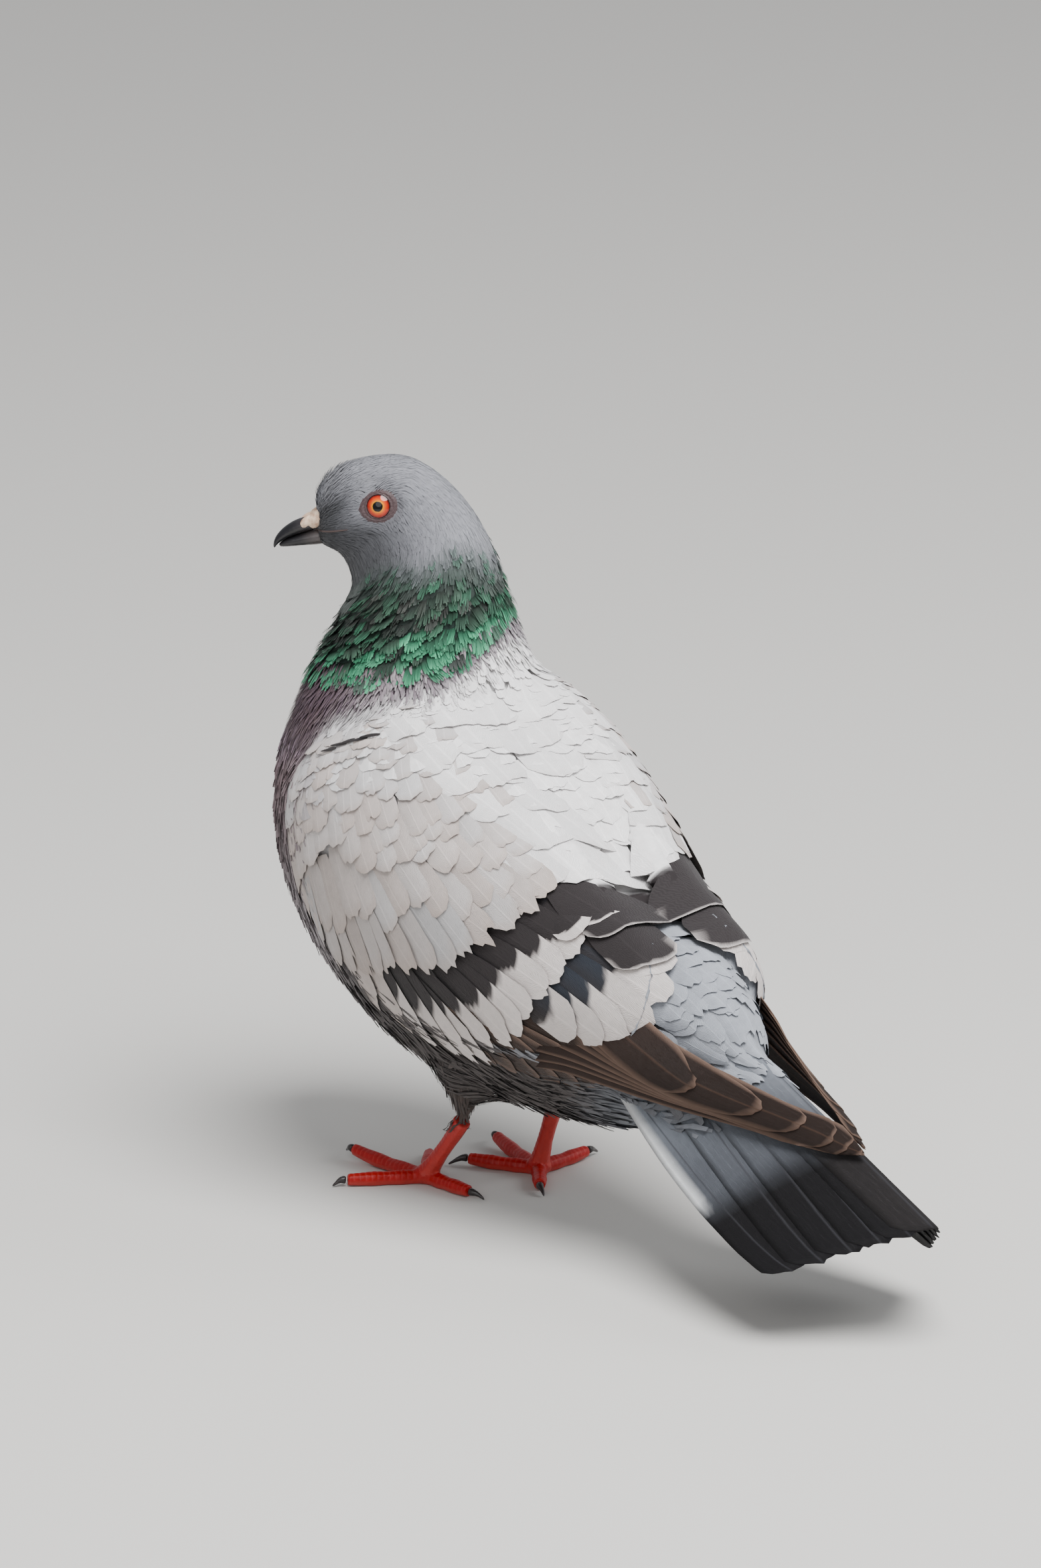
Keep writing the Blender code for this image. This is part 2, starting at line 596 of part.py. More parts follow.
def make_leg(side, parts, helpers, finishes):
    place = FEET[side]
    hub = mm((*place["hub"], 0.0))
    ankle = mm(place["ankle"])
    foot = ball(side + "_hub", hub + mm((0.0, 0.0, 2.6)), MM, helpers, None, HUB_RADII, None, 10)
    claws = []
    for toe, (end, tip) in enumerate(place["toes"], 1):
        path = toe_path(hub, mm(end), len(TOE_SWELL))
        radii = [TOE_RADIUS * swell for swell in TOE_SWELL]
        combine(foot, tube(side + "_toe", path, radii, helpers), "UNION")
        direction = (path[-1] - path[-2]).normalized()
        base = path[-1] + direction * GAP * 1.3
        claw_tip = hub + mm(tip)
        knuckle = base.lerp(claw_tip, 0.55) + mm((0.0, 0.0, 0.6))
        claws.append((toe, smooth_path([base, base + direction * 1.4 * MM, knuckle, claw_tip], 5)))
    shank_path = smooth_path([hub + mm((0.0, 0.0, 2.5)), hub.lerp(ankle, 0.35) + mm((0.0, -0.3, 1.0)),
                              hub.lerp(ankle, 0.7), ankle], 7)
    shank_radii = [TARSUS_RADIUS * swell for swell in (1.35, 1.1, 0.95, 0.93, 1.0, 1.1, 1.15)]
    combine(foot, tube(side + "_shank", shank_path, shank_radii, helpers), "UNION")
    bm = bmesh.new()
    bmesh.ops.create_cube(bm, size=FLOOR_BLOCK)
    bmesh.ops.translate(bm, vec=(0.0, 0.0, -FLOOR_BLOCK / 2), verts=bm.verts)
    combine(foot, mesh_object(side + "_floor", bm, helpers), "DIFFERENCE")
    whole = evaluated_copy(foot, side + "_leg_whole", helpers)
    up = Vector((0.0, 0.0, 1.0))
    height = Vector((0.0, 0.0, FOOT_HEIGHT))
    slice_between(whole, side + "_foot", [(height - up * GAP / 2, up)], parts, finishes["legs"])
    joint, up_leg = shank_plane(side)
    slice_between(whole, side + "_tarsus", [(height + up * GAP / 2, -up), (joint - up_leg * GAP / 2, up_leg)],
                  parts, finishes["legs"])
    for toe, claw_path in claws:
        radii = [r * MM for r in (1.45, 1.3, 1.0, 0.65, 0.3)]
        made = evaluated_copy(tube("claw", claw_path, radii, helpers, sides=6),
                              f"{side}_claw_{toe}", parts, finishes["claws"])
        smooth(made)


def centre_on_footprint(parts):
    """Put the origin at the bottom centre of the whole bird's box."""
    bpy.context.view_layer.update()
    corners = [vert.co for obj in parts.objects for vert in obj.data.vertices]
    low = Vector((min(c[i] for c in corners) for i in range(3)))
    high = Vector((max(c[i] for c in corners) for i in range(3)))
    middle = Vector(((low.x + high.x) / 2, (low.y + high.y) / 2, low.z))
    for obj in parts.objects:
        obj.data.transform(Matrix.Translation(-middle))
    print("stance middle at", tuple(round(-v / MM, 2) for v in middle), "mm, size",
          tuple(round(v / MM, 1) for v in high - low))


def main():
    clear_scene()
    parts = new_collection("pigeon")
    helpers = new_collection("helpers", hidden=True)
    finishes = {
        "head": material("slate_plumage", (0.16, 0.17, 0.19), 0.7),
        "neck": material("green_plumage", (0.08, 0.17, 0.13), 0.45),
        "body": material("grey_plumage", (0.22, 0.23, 0.25), 0.75),
        "coverts": material("pale_plumage", (0.62, 0.58, 0.57), 0.75),
        "primaries": material("brown_feathers", (0.17, 0.13, 0.11), 0.65),
        "tail": material("tail_feathers", (0.2, 0.22, 0.26), 0.7),
        "legs": material("red_skin", (0.62, 0.09, 0.06), 0.55),
        "claws": material("dark_horn", (0.05, 0.045, 0.045), 0.35),
        "bill": material("black_horn", (0.03, 0.03, 0.035), 0.3),
        "cere": material("chalky_skin", (0.66, 0.55, 0.48), 0.8),
        "eyes": material("orange_iris", (0.85, 0.25, 0.02), 0.1),
    }
    form = body_form("form", helpers)
    bed = body_form("wing_bed", helpers, wing_lift=True)
    make_head(form, parts, helpers, finishes["head"])
    make_eyes(parts, finishes["eyes"])
    form_cutter = inflated(form, "form_swollen", GAP, helpers)
    for name, profile in (("upper_bill", UPPER_BILL), ("lower_bill", LOWER_BILL)):
        whole = make_bill(name + "_whole", profile, helpers, None)
        combine(whole, form_cutter, "DIFFERENCE")
        smooth(evaluated_copy(whole, name, parts, finishes["bill"]))
    make_cere(form_cutter, parts, helpers, finishes["cere"])
    top, top_turn, top_pitch = NECK_TOP
    base, base_turn, base_pitch = NECK_BASE
    top_run = section_frame(top_turn, top_pitch)[0]
    base_run = section_frame(base_turn, base_pitch)[0]
    slice_between(form, "neck", [(top + top_run * GAP / 2, -top_run), (base - base_run * GAP / 2, base_run)],
                  parts, finishes["neck"])
    slice_between(form, "trunk", [(base + base_run * GAP / 2, -base_run)], parts, finishes["body"])
    make_wings_and_tail(bed, form_cutter, parts, helpers, finishes)
    for side, sign in (("left", 1), ("right", -1)):
        make_thigh(side, sign, form_cutter, parts, helpers, finishes["body"])
        make_leg(side, parts, helpers, finishes)
    centre_on_footprint(parts)


main()
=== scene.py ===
import json
import math

import bmesh
import bpy
import numpy as np
from mathutils import Matrix, Vector
from mathutils.bvhtree import BVHTree


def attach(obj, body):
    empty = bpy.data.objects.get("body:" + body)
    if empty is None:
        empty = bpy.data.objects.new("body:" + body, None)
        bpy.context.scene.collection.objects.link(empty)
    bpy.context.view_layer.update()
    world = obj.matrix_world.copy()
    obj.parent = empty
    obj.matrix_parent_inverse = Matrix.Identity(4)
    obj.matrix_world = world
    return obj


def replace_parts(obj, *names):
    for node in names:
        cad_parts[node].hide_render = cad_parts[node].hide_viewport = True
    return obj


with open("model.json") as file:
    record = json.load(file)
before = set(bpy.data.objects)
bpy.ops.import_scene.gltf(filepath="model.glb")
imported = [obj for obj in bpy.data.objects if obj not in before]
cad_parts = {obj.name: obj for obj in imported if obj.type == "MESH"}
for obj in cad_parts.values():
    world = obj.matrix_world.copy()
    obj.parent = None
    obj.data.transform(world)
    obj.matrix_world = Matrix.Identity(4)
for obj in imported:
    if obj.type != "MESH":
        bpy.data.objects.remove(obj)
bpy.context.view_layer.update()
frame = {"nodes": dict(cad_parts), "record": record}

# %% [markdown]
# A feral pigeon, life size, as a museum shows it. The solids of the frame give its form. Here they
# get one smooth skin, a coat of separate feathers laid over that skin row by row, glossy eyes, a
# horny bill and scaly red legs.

MM = 0.001
rng = np.random.default_rng(11)
left_sole = Vector(frame["record"]["mounts"][0]["pos_m"])
STANCE = left_sole - Vector((15.2, -7.2, 0.0)) * MM  # floor point midway between the feet


def spot(x, y, z):
    """A place given in mm from the middle of the stance: to the bird's left, back and up."""
    return STANCE + Vector((x, y, z)) * MM


def spots(points):
    """The same for an array of places."""
    return np.array(STANCE) + np.asarray(points, float) * MM

# %% [markdown]
# A piece's place is kept in its mesh, and its object stays at the origin, so that patterns find
# it where it is seen. Only the camera and the lamps are moved as objects.


# %% Putting things into the scene
def placed(name, data):
    """A new object in the scene, at the origin."""
    made = bpy.data.objects.new(name, data)
    bpy.context.scene.collection.objects.link(made)
    return made


def mesh_of(bm, name):
    """The mesh that a bmesh has built."""
    mesh = bpy.data.meshes.new(name)
    bm.to_mesh(mesh)
    bm.free()
    return mesh


def aimed(made, place, way):
    """Moves a camera or a lamp to a place and lets it look along a way."""
    made.location = place
    made.rotation_mode = "QUATERNION"
    made.rotation_quaternion = way.to_track_quat("-Z", "Y")


# %% [markdown]
# The camera stands behind the bird's left shoulder, a little above it, with a long lens from
# nearly four metres, so the bird is seen without strong perspective.

# %% Camera
AZIMUTH, ELEVATION = math.radians(140.0), math.radians(16.5)
DISTANCE = 3.822
aim = spot(-29.6, -17.9, 110.4)
back = Vector((math.sin(AZIMUTH) * math.cos(ELEVATION), -math.cos(AZIMUTH) * math.cos(ELEVATION),
               math.sin(ELEVATION)))
lens = bpy.data.cameras.new("camera")
lens.lens = 300.0
lens.sensor_width = 36.0
camera = placed("camera", lens)
aimed(camera, aim + back * DISTANCE, -back)
bpy.context.scene.camera = camera
print("camera", tuple(round(v, 3) for v in camera.location))

# %% [markdown]
# A wide pale floor and three large soft lamps give even light with gentle shadows: one above,
# one from the camera's side and one behind the bird to lift its far edge.


# %% Floor and lamps
def node_material(name):
    made = bpy.data.materials.new(name)
    made.use_nodes = True
    shader = made.node_tree.nodes["Principled BSDF"]
    return made, made.node_tree, shader


def tone(red, green, blue):
    """A colour named by its usual 0-255 screen values, as the linear numbers that shaders use."""
    def straight(value):
        value /= 255.0
        return value / 12.92 if value <= 0.04045 else ((value + 0.055) / 1.055) ** 2.4
    return np.array((straight(red), straight(green), straight(blue)))


bm = bmesh.new()
bmesh.ops.create_grid(bm, x_segments=1, y_segments=1, size=6.0)
floor = placed("floor", mesh_of(bm, "floor"))
floor_finish, _, shader = node_material("pale_floor")
shader.inputs["Base Color"].default_value = (*tone(206, 204, 200), 1.0)
shader.inputs["Roughness"].default_value = 0.9
floor.data.materials.append(floor_finish)


def lamp(name, place, target, size, power, colour=(1.0, 1.0, 1.0)):
    data = bpy.data.lights.new(name, "AREA")
    data.shape = "DISK"
    data.size = size
    data.energy = power
    data.color = colour
    aimed(placed(name, data), place, target - place)


middle = spot(0, 30, 100)
lamp("sky_lamp", middle + Vector((0.1, 0.7, 1.5)), middle, 1.2, 58.0)
lamp("front_lamp", middle + Vector((1.5, 0.9, 0.9)), middle, 1.3, 7.0, (1.0, 0.985, 0.96))
lamp("rim_lamp", middle + Vector((-1.3, 0.9, 0.9)), middle, 1.0, 9.0, (0.95, 0.98, 1.0))
world = bpy.data.worlds.new("studio")
world.use_nodes = True
world.node_tree.nodes["Background"].inputs["Color"].default_value = (0.86, 0.87, 0.9, 1.0)
world.node_tree.nodes["Background"].inputs["Strength"].default_value = 0.5
bpy.context.scene.world = world

# %% [markdown]
# Feathers are made of barbs that slant away from a shaft. Their fine grooves come from a bump
# pattern that follows each feather, so the effect is a node group shared by every plumage
# material. Its input tells how many barbs a feather shows.


# %% Node groups for barbs and for a blotchy tone
def new_node(tree, kind, **inputs):
    """A shader node with some of its inputs set by name."""
    node = tree.nodes.new("ShaderNode" + kind)
    for label, value in inputs.items():
        node.inputs[label.replace("_", " ")].default_value = value
    return node


def link_math(tree, operation, first, second=None, third=None, clamp=False):
    """One sum of the shader's: each term is a number or another node's output."""
    node = new_node(tree, "Math")
    node.operation, node.use_clamp = operation, clamp
    for socket, value in zip(node.inputs, (first, second, third)):
        if value is None:
            continue
        if isinstance(value, (int, float)):
            socket.default_value = value
        else:
            tree.links.new(value, socket)
    return node.outputs[0]


def new_group(name, sockets_in, sockets_out):
    """An empty node group with its inputs, as (name, kind, value), and its outputs."""
    group = bpy.data.node_groups.new(name, "ShaderNodeTree")
    for label, kind, value in sockets_in:
        socket = group.interface.new_socket(label, in_out="INPUT", socket_type=kind)
        if value is not None:
            socket.default_value = value
    for label, kind in sockets_out:
        group.interface.new_socket(label, in_out="OUTPUT", socket_type=kind)
    return group, group.nodes.new("NodeGroupInput"), group.nodes.new("NodeGroupOutput")


barbs, source, result = new_group(
    "barbs", [("Barbs", "NodeSocketFloat", 40.0), ("Slant", "NodeSocketFloat", 1.4)],
    [("Height", "NodeSocketFloat"), ("Shaft", "NodeSocketFloat")])
lay = new_node(barbs, "UVMap")
lay.uv_map = "vane"
apart = new_node(barbs, "SeparateXYZ")
barbs.links.new(lay.outputs["UV"], apart.inputs[0])
from_shaft = link_math(barbs, "ABSOLUTE", link_math(barbs, "SUBTRACT", apart.outputs["X"], 0.5))
grain = new_node(barbs, "TexNoise", Scale=14.0, Detail=2.0)
barbs.links.new(lay.outputs["UV"], grain.inputs["Vector"])
slanted = link_math(barbs, "MULTIPLY_ADD", from_shaft, source.outputs["Slant"], apart.outputs["Y"])
wavy = link_math(barbs, "MULTIPLY_ADD", grain.outputs["Fac"], 0.12, slanted)
turns = link_math(barbs, "MULTIPLY", wavy, link_math(barbs, "MULTIPLY", source.outputs["Barbs"], 6.2832))
ripple = link_math(barbs, "MULTIPLY_ADD", link_math(barbs, "SINE", turns), 0.5, 0.5)
shaft = link_math(barbs, "SUBTRACT", 1.0, link_math(barbs, "MULTIPLY", from_shaft, 26.0), clamp=True)
height = link_math(barbs, "MULTIPLY_ADD", shaft, 1.4, ripple)
barbs.links.new(height, result.inputs["Height"])
barbs.links.new(shaft, result.inputs["Shaft"])

blotches, source, result = new_group(
    "blotches", [("Colour", "NodeSocketColor", None), ("Scale", "NodeSocketFloat", 180.0),
                 ("Depth", "NodeSocketFloat", 0.25)], [("Colour", "NodeSocketColor")])
place = new_node(blotches, "TexCoord")
cloud = new_node(blotches, "TexNoise", Detail=5.0)
blotches.links.new(place.outputs["Object"], cloud.inputs["Vector"])
blotches.links.new(source.outputs["Scale"], cloud.inputs["Scale"])
spread = link_math(blotches, "MULTIPLY_ADD", cloud.outputs["Fac"], 2.0, -1.0)
gain = link_math(blotches, "MULTIPLY_ADD", spread, source.outputs["Depth"], 1.0)
scaled = new_node(blotches, "VectorMath")
scaled.operation = "SCALE"
blotches.links.new(source.outputs["Colour"], scaled.inputs[0])
blotches.links.new(gain, scaled.inputs["Scale"])
blotches.links.new(scaled.outputs[0], result.inputs["Colour"])
print("node groups:", [group.name for group in bpy.data.node_groups])

# %% [markdown]
# Down, coverts, hackles and long feathers differ in how fine their barbs are and how much they
# shine. One function makes all these finishes from a few numbers. The colour itself is painted on
# the corners of each feather, because a feather's colour depends on where it grows.


# %% Plumage materials
def painted_material(name, blotch_scale, depth, roughness, specular):
    """A material, its nodes and shader, and its painted tone with blotches."""
    made, tree, shader = node_material(name)
    paint = new_node(tree, "Attribute")
    paint.attribute_name = "tone"
    blotch = tree.nodes.new("ShaderNodeGroup")
    blotch.node_tree = blotches
    blotch.inputs["Scale"].default_value = blotch_scale
    blotch.inputs["Depth"].default_value = depth
    tree.links.new(paint.outputs["Color"], blotch.inputs["Colour"])
    shader.inputs["Roughness"].default_value = roughness
    shader.inputs["Specular IOR Level"].default_value = specular
    return made, tree, shader, blotch.outputs["Colour"]


def bump_from(tree, shader, height, strength, distance):
    """Lets a height show as a bump."""
    rise = new_node(tree, "Bump", Strength=strength, Distance=distance)
    tree.links.new(height, rise.inputs["Height"])
    tree.links.new(rise.outputs[0], shader.inputs["Normal"])


def colour_mix(tree, first, second, share, how="MIX"):
    """Two colours mixed in the shader. second and share may be numbers or outputs."""
    mix = new_node(tree, "Mix")
    mix.data_type, mix.blend_type = "RGBA", how
    tree.links.new(first, mix.inputs["A"])
    for socket, value in ((mix.inputs["B"], second), (mix.inputs["Factor"], share)):
        if isinstance(value, bpy.types.NodeSocket):
            tree.links.new(value, socket)
        else:
            socket.default_value = value
    return mix.outputs["Result"]


def plumage(name, barb_count, bump, roughness, depth, sheen=0.0, shaft_tone=None, metallic=0.0):
    """A feather finish: the painted tone, blotched, with barbs and a shaft raised by bump."""
    made, tree, shader, colour = painted_material(name, 420.0, depth, roughness, 0.15)
    vane = tree.nodes.new("ShaderNodeGroup")
    vane.node_tree = barbs
    vane.inputs["Barbs"].default_value = barb_count
    # The tone is darker in the grooves between the barbs and a little lighter on the barbs and the shaft:
    # painted shade and light.
    shade = new_node(tree, "MapRange", From_Max=1.0, To_Min=0.86, To_Max=1.06)
    tree.links.new(vane.outputs["Height"], shade.inputs["Value"])
    colour = colour_mix(tree, colour, shade.outputs[0], 1.0, "MULTIPLY")
    if shaft_tone is not None:
        on_shaft = link_math(tree, "MULTIPLY", vane.outputs["Shaft"], 0.7)
        colour = colour_mix(tree, colour, (*shaft_tone, 1.0), on_shaft)
    tree.links.new(colour, shader.inputs["Base Color"])
    bump_from(tree, shader, vane.outputs["Height"], bump, 0.2 * MM)
    shader.inputs["Metallic"].default_value = metallic
    shader.inputs["Sheen Weight"].default_value = sheen
    return made


soft_plumage = plumage("soft_plumage", 16.0, 0.35, 0.85, 0.16, sheen=0.15)
fine_plumage = plumage("fine_plumage", 6.0, 0.3, 0.8, 0.2, sheen=0.1)
covert_plumage = plumage("covert_plumage", 26.0, 0.45, 0.78, 0.1, sheen=0.12)
glossy_plumage = plumage("glossy_plumage", 10.0, 0.4, 0.45, 0.25, metallic=0.3)
flight_plumage = plumage("flight_plumage", 90.0, 0.5, 0.6, 0.12, shaft_tone=tone(70, 52, 42))
tail_plumage = plumage("tail_plumage", 90.0, 0.5, 0.68, 0.12, shaft_tone=tone(52, 52, 56))
print("plumage materials made")

# %% [markdown]
# The skin is made from copies of the flesh solids. They are joined, turned into one mesh by a
# voxel remesh, smoothed, and the plumage part is drawn in by the depth of the coat.


# %% Joining and remeshing solids
def copy_of(names, name):
    """One new mesh object that holds copies of these nodes' meshes, with doubled corners merged."""
    bm = bmesh.new()
    for node in names:
        bm.from_mesh(frame["nodes"][node].data)
    bmesh.ops.remove_doubles(bm, verts=bm.verts, dist=1e-6)
    return placed(name, mesh_of(bm, name))


def applied(source):
    """Replaces the object's mesh by what its modifiers make of it."""
    graph = bpy.context.evaluated_depsgraph_get()
    mesh = bpy.data.meshes.new_from_object(source.evaluated_get(graph))
    source.modifiers.clear()
    source.data = mesh
    return source


def remeshed(source, voxel, rounds):
    """One closed mesh round everything in the source, evened out by a few rounds of smoothing."""
    remesh = source.modifiers.new("remesh", "REMESH")
    remesh.mode = "VOXEL"
    remesh.voxel_size = voxel
    relax = source.modifiers.new("relax", "SMOOTH")
    relax.factor = 0.5
    relax.iterations = rounds
    return applied(source)


def arrays_of(mesh):
    """The corners of a mesh, and which way is out at each."""
    points, normals = np.empty(len(mesh.vertices) * 3), np.empty(len(mesh.vertices) * 3)
    mesh.vertices.foreach_get("co", points)
    mesh.vertices.foreach_get("normal", normals)
    return points.reshape(-1, 3), normals.reshape(-1, 3)


FLESH = ["head", "neck", "trunk", "left_thigh", "right_thigh", "left_wing", "right_wing"]
BODY_VOXEL = 1.5 * MM
form = remeshed(copy_of(FLESH, "form"), BODY_VOXEL, 8)
tail_form = remeshed(copy_of(FLESH + ["tail"], "tail_form"), BODY_VOXEL, 8)


def tree_of(source):
    return BVHTree.FromPolygons([v.co for v in source.data.vertices],
                                [p.vertices for p in source.data.polygons])


form_tree = tree_of(form)
tail_tree = tree_of(tail_form)
print("form has", len(form.data.polygons), "faces")

# %% [markdown]
# To lay feathers in an orderly way, the body's surface is first mapped, as a globe is by
# longitude and latitude. Rays are sent in towards a line that runs from the bill through head,
# neck and trunk to the tail. The number of the station along that line and the angle round it
# then name every place on the surface.


# %% Blends and soft steps
def blend(first, second, share):
    """Mixes two colours, or arrays of them, by a share from 0 to 1."""
    share = np.clip(np.asarray(share, float), 0.0, 1.0)[..., None]
    return np.asarray(first) * (1 - share) + np.asarray(second) * share


def step(edge, value, softness):
    """0 before the edge and 1 after it, with a soft change."""
    share = np.clip((value - edge) / softness + 0.5, 0.0, 1.0)
    return share * share * (3 - 2 * share)


# %% A map of a surface
class SurfaceMap:
    """A curved surface as a grid of places, with the way off the surface at each of them."""

    def __init__(self, grid, u_range, v_range, wraps, outward):
        self.grid, self.u_range, self.v_range, self.wraps = grid, u_range, v_range, wraps
        self.step_u = np.gradient(grid, axis=0) * (grid.shape[0] - 1) / (u_range[1] - u_range[0])
        around = np.concatenate([grid[:, -2:-1], grid, grid[:, 1:2]], axis=1) if wraps else grid
        across = np.gradient(around, axis=1)
        across = across[:, 1:-1] if wraps else across
        self.step_v = across * (grid.shape[1] - 1) / (v_range[1] - v_range[0])
        normal = np.cross(self.step_u, self.step_v)
        normal /= np.linalg.norm(normal, axis=2, keepdims=True) + 1e-12
        if (normal * outward).sum() < 0:
            normal = -normal
        self.normal = normal
        self.handed = 1.0 if (np.cross(self.step_u, self.step_v) * normal).sum() > 0 else -1.0

    def over(self, grid):
        """The same map with its places moved."""
        return SurfaceMap(grid, self.u_range, self.v_range, self.wraps, self.normal)

    def read(self, layer, u, v):
        """What a layer of the grid says at these places, blended between its four nearest."""
        rows, columns = self.grid.shape[:2]
        i = (np.asarray(u, float) - self.u_range[0]) / (self.u_range[1] - self.u_range[0]) * (rows - 1)
        j = (np.asarray(v, float) - self.v_range[0]) / (self.v_range[1] - self.v_range[0]) * (columns - 1)
        i = np.clip(i, 0, rows - 1.001)
        j = np.mod(j, columns - 1) if self.wraps else np.clip(j, 0, columns - 1.001)
        i0, j0 = np.floor(i).astype(int), np.floor(j).astype(int)
        j0 = np.minimum(j0, columns - 2)
        a, b = (i - i0)[..., None], (j - j0)[..., None]
        return ((layer[i0, j0] * (1 - b) + layer[i0, j0 + 1] * b) * (1 - a)
                + (layer[i0 + 1, j0] * (1 - b) + layer[i0 + 1, j0 + 1] * b) * a)

    def strides(self, u, v):
        """How far one whole step of u, and one of v, reaches over the surface there."""
        return (np.linalg.norm(self.read(self.step_u, u, v), axis=-1),
                np.linalg.norm(self.read(self.step_v, u, v), axis=-1))

    def place(self, u, v, lift=0.0):
        """The places themselves, lifted off the surface."""
        off = self.read(self.normal, u, v)
        off = off / (np.linalg.norm(off, axis=-1, keepdims=True) + 1e-12)
        return self.read(self.grid, u, v) + off * np.asarray(lift)[..., None]

    def unwrapped(self, u, v):
        """The same place on a square map, 0 to 1 each way."""
        flat_u = (np.asarray(u) - self.u_range[0]) / (self.u_range[1] - self.u_range[0])
        flat_v = (np.asarray(v) - self.v_range[0]) / (self.v_range[1] - self.v_range[0])
        flat_v = np.mod(flat_v, 1.0) if self.wraps else flat_v
        return np.clip(flat_u, 0.004, 0.996), np.clip(flat_v, 0.004, 0.996)


def softened(grid, rounds, wraps):
    """Evens out a grid of places by blending each with its neighbours."""
    for _ in range(rounds):
        grid[1:-1] = (grid[:-2] + 2 * grid[1:-1] + grid[2:]) / 4
        if wraps:
            ring = np.concatenate([grid[:, -2:-1], grid, grid[:, 1:2]], axis=1)
            grid = (ring[:, :-2] + 2 * ring[:, 1:-1] + ring[:, 2:]) / 4
        else:
            grid[:, 1:-1] = (grid[:, :-2] + 2 * grid[:, 1:-1] + grid[:, 2:]) / 4
    return grid

# %% [markdown]
# The line through the bird has a station at each place where the body bends or swells. A body
# that is bent this much can't be mapped round one straight axis, as a vase could, so each station
# has its own turn and pitch, and the ones between are blended.


# %% Stations from the bill to the tail
def cross_axes(turn, pitch):
    """Axes of a cross-section: the way the body runs, its dorsal side and its left side."""
    turn, pitch = math.radians(turn), math.radians(pitch)
    rear = Vector((-math.sin(turn), math.cos(turn), 0.0))
    up = Vector((0.0, 0.0, 1.0))
    return (rear * math.cos(pitch) - up * math.sin(pitch), rear * math.sin(pitch) + up * math.cos(pitch),
            Vector((math.cos(turn), math.sin(turn), 0.0)))


HEAD_TURN, BILL_DROP = 50.0, 16.0
HEAD_MIDDLE = Vector((4.5, -36.0, 196.5))


def head_spot(ahead, above=0.0, aside=0.0):
    """A place on the head, in mm from its middle: along the bill, up, and to the left."""
    run, dorsal, left = cross_axes(HEAD_TURN, -BILL_DROP)
    return STANCE + (HEAD_MIDDLE - run * ahead + dorsal * above + left * aside) * MM


# Stations from the bill to the tail: place, turn, pitch and how far out the rays start, in mm
STATIONS = [
    (head_spot(23.5, 0.6), 50, -12, 18), (head_spot(20.6, 1.8), 50, 6, 22), (head_spot(17.5, 2.8), 50, 20, 26),
    (head_spot(12, 3.6), 50, 24, 28), (head_spot(5, 4), 50, 30, 28), (head_spot(-2, 3.2), 50, 34, 32),
    (spot(1.5, -27.5, 191), 48, 44, 36), (spot(0.5, -25, 181), 40, 64, 40), (spot(0, -26, 169), 24, 80, 46),
    (spot(0, -28, 155), 8, 84, 56), (spot(0, -27, 139), 0, 76, 66), (spot(0, -20, 122), 0, 64, 80),
    (spot(0, -8, 106), 0, 53, 84), (spot(0, 8, 92), 0, 45, 84), (spot(0, 25, 79), 0, 40, 80),
    (spot(0, 44, 68), 0, 36, 76), (spot(0, 63, 62), 0, 33, 66), (spot(0, 81, 62), 0, 30, 60),
    (spot(0, 96, 61), 0, 31, 50), (spot(0, 109, 60), 0, 32, 46), (spot(0, 124, 61), 0, 30, 46),
    (spot(0, 140, 57), 0, 28, 46),
]


def mapped_round(stations, tree, rows, columns, rounds):
    """Maps a body by rays sent in towards its line of stations."""
    index = np.linspace(0, len(stations) - 1, rows)
    order = np.arange(len(stations))
    centres = np.stack([np.interp(index, order, [s[0][k] for s in stations]) for k in range(3)], 1)
    turns = np.interp(index, order, [s[1] for s in stations])
    pitches = np.interp(index, order, [s[2] for s in stations])
    starts = np.interp(index, order, [s[3] for s in stations]) * MM
    grid = np.zeros((rows, columns, 3))
    middle_line = np.zeros((rows, columns, 3))
    for i in range(rows):
        _, dorsal, left = cross_axes(turns[i], pitches[i])
        centre = Vector(centres[i])
        for j in range(columns):
            angle = 2 * math.pi * j / (columns - 1)
            way = dorsal * math.cos(angle) + left * math.sin(angle)
            hit = tree.ray_cast(centre + way * starts[i], -way, starts[i])[0]
            grid[i, j] = hit if hit is not None else centre + way * 2 * MM
            middle_line[i, j] = centre
    grid = softened(grid, rounds, True)
    return SurfaceMap(grid, (0.0, len(stations) - 1.0), (0.0, 360.0), True, grid - middle_line)


def signed(v):
    """The angle round the body from the middle of the back: left side positive, right negative."""
    return (np.asarray(v, float) + 180.0) % 360.0 - 180.0


def aside_of(v):
    """The same for both sides alike: 0 on the back, 180 under the bird."""
    return np.abs(signed(v))


def drawn_in(u, v):
    """How far the front of the neck lies inside the solid under its coat, in mm."""
    along = np.interp(u, (7.0, 7.6, 8.2, 9.0, 9.7, 10.3, 11.0), (0, 1.0, 1.8, 1.7, 1.3, 0.5, 0.0))
    return along * step(82.0, aside_of(v), 50.0) * (1 - 0.4 * step(165.0, aside_of(v), 30.0))


MAP_ROWS, MAP_COLUMNS, LAST_STATION = 211, 145, len(STATIONS) - 1
body_map = mapped_round(STATIONS, tail_tree, MAP_ROWS, MAP_COLUMNS, 3)
map_u, map_v = np.meshgrid(np.linspace(0, LAST_STATION, MAP_ROWS), np.linspace(0, 360, MAP_COLUMNS),
                           indexing="ij")
body_map = body_map.over(body_map.grid - body_map.normal * (drawn_in(map_u, map_v) * MM)[..., None])
print("body mapped:", body_map.grid.shape)

# %% [markdown]
# The solid's eye sockets would pull the map in. Each is bridged by a smooth patch fitted to the
# head round it, which then dips to a shallow dish for the lids. The eye looks out between the
# patch's own facing and straight sideways.

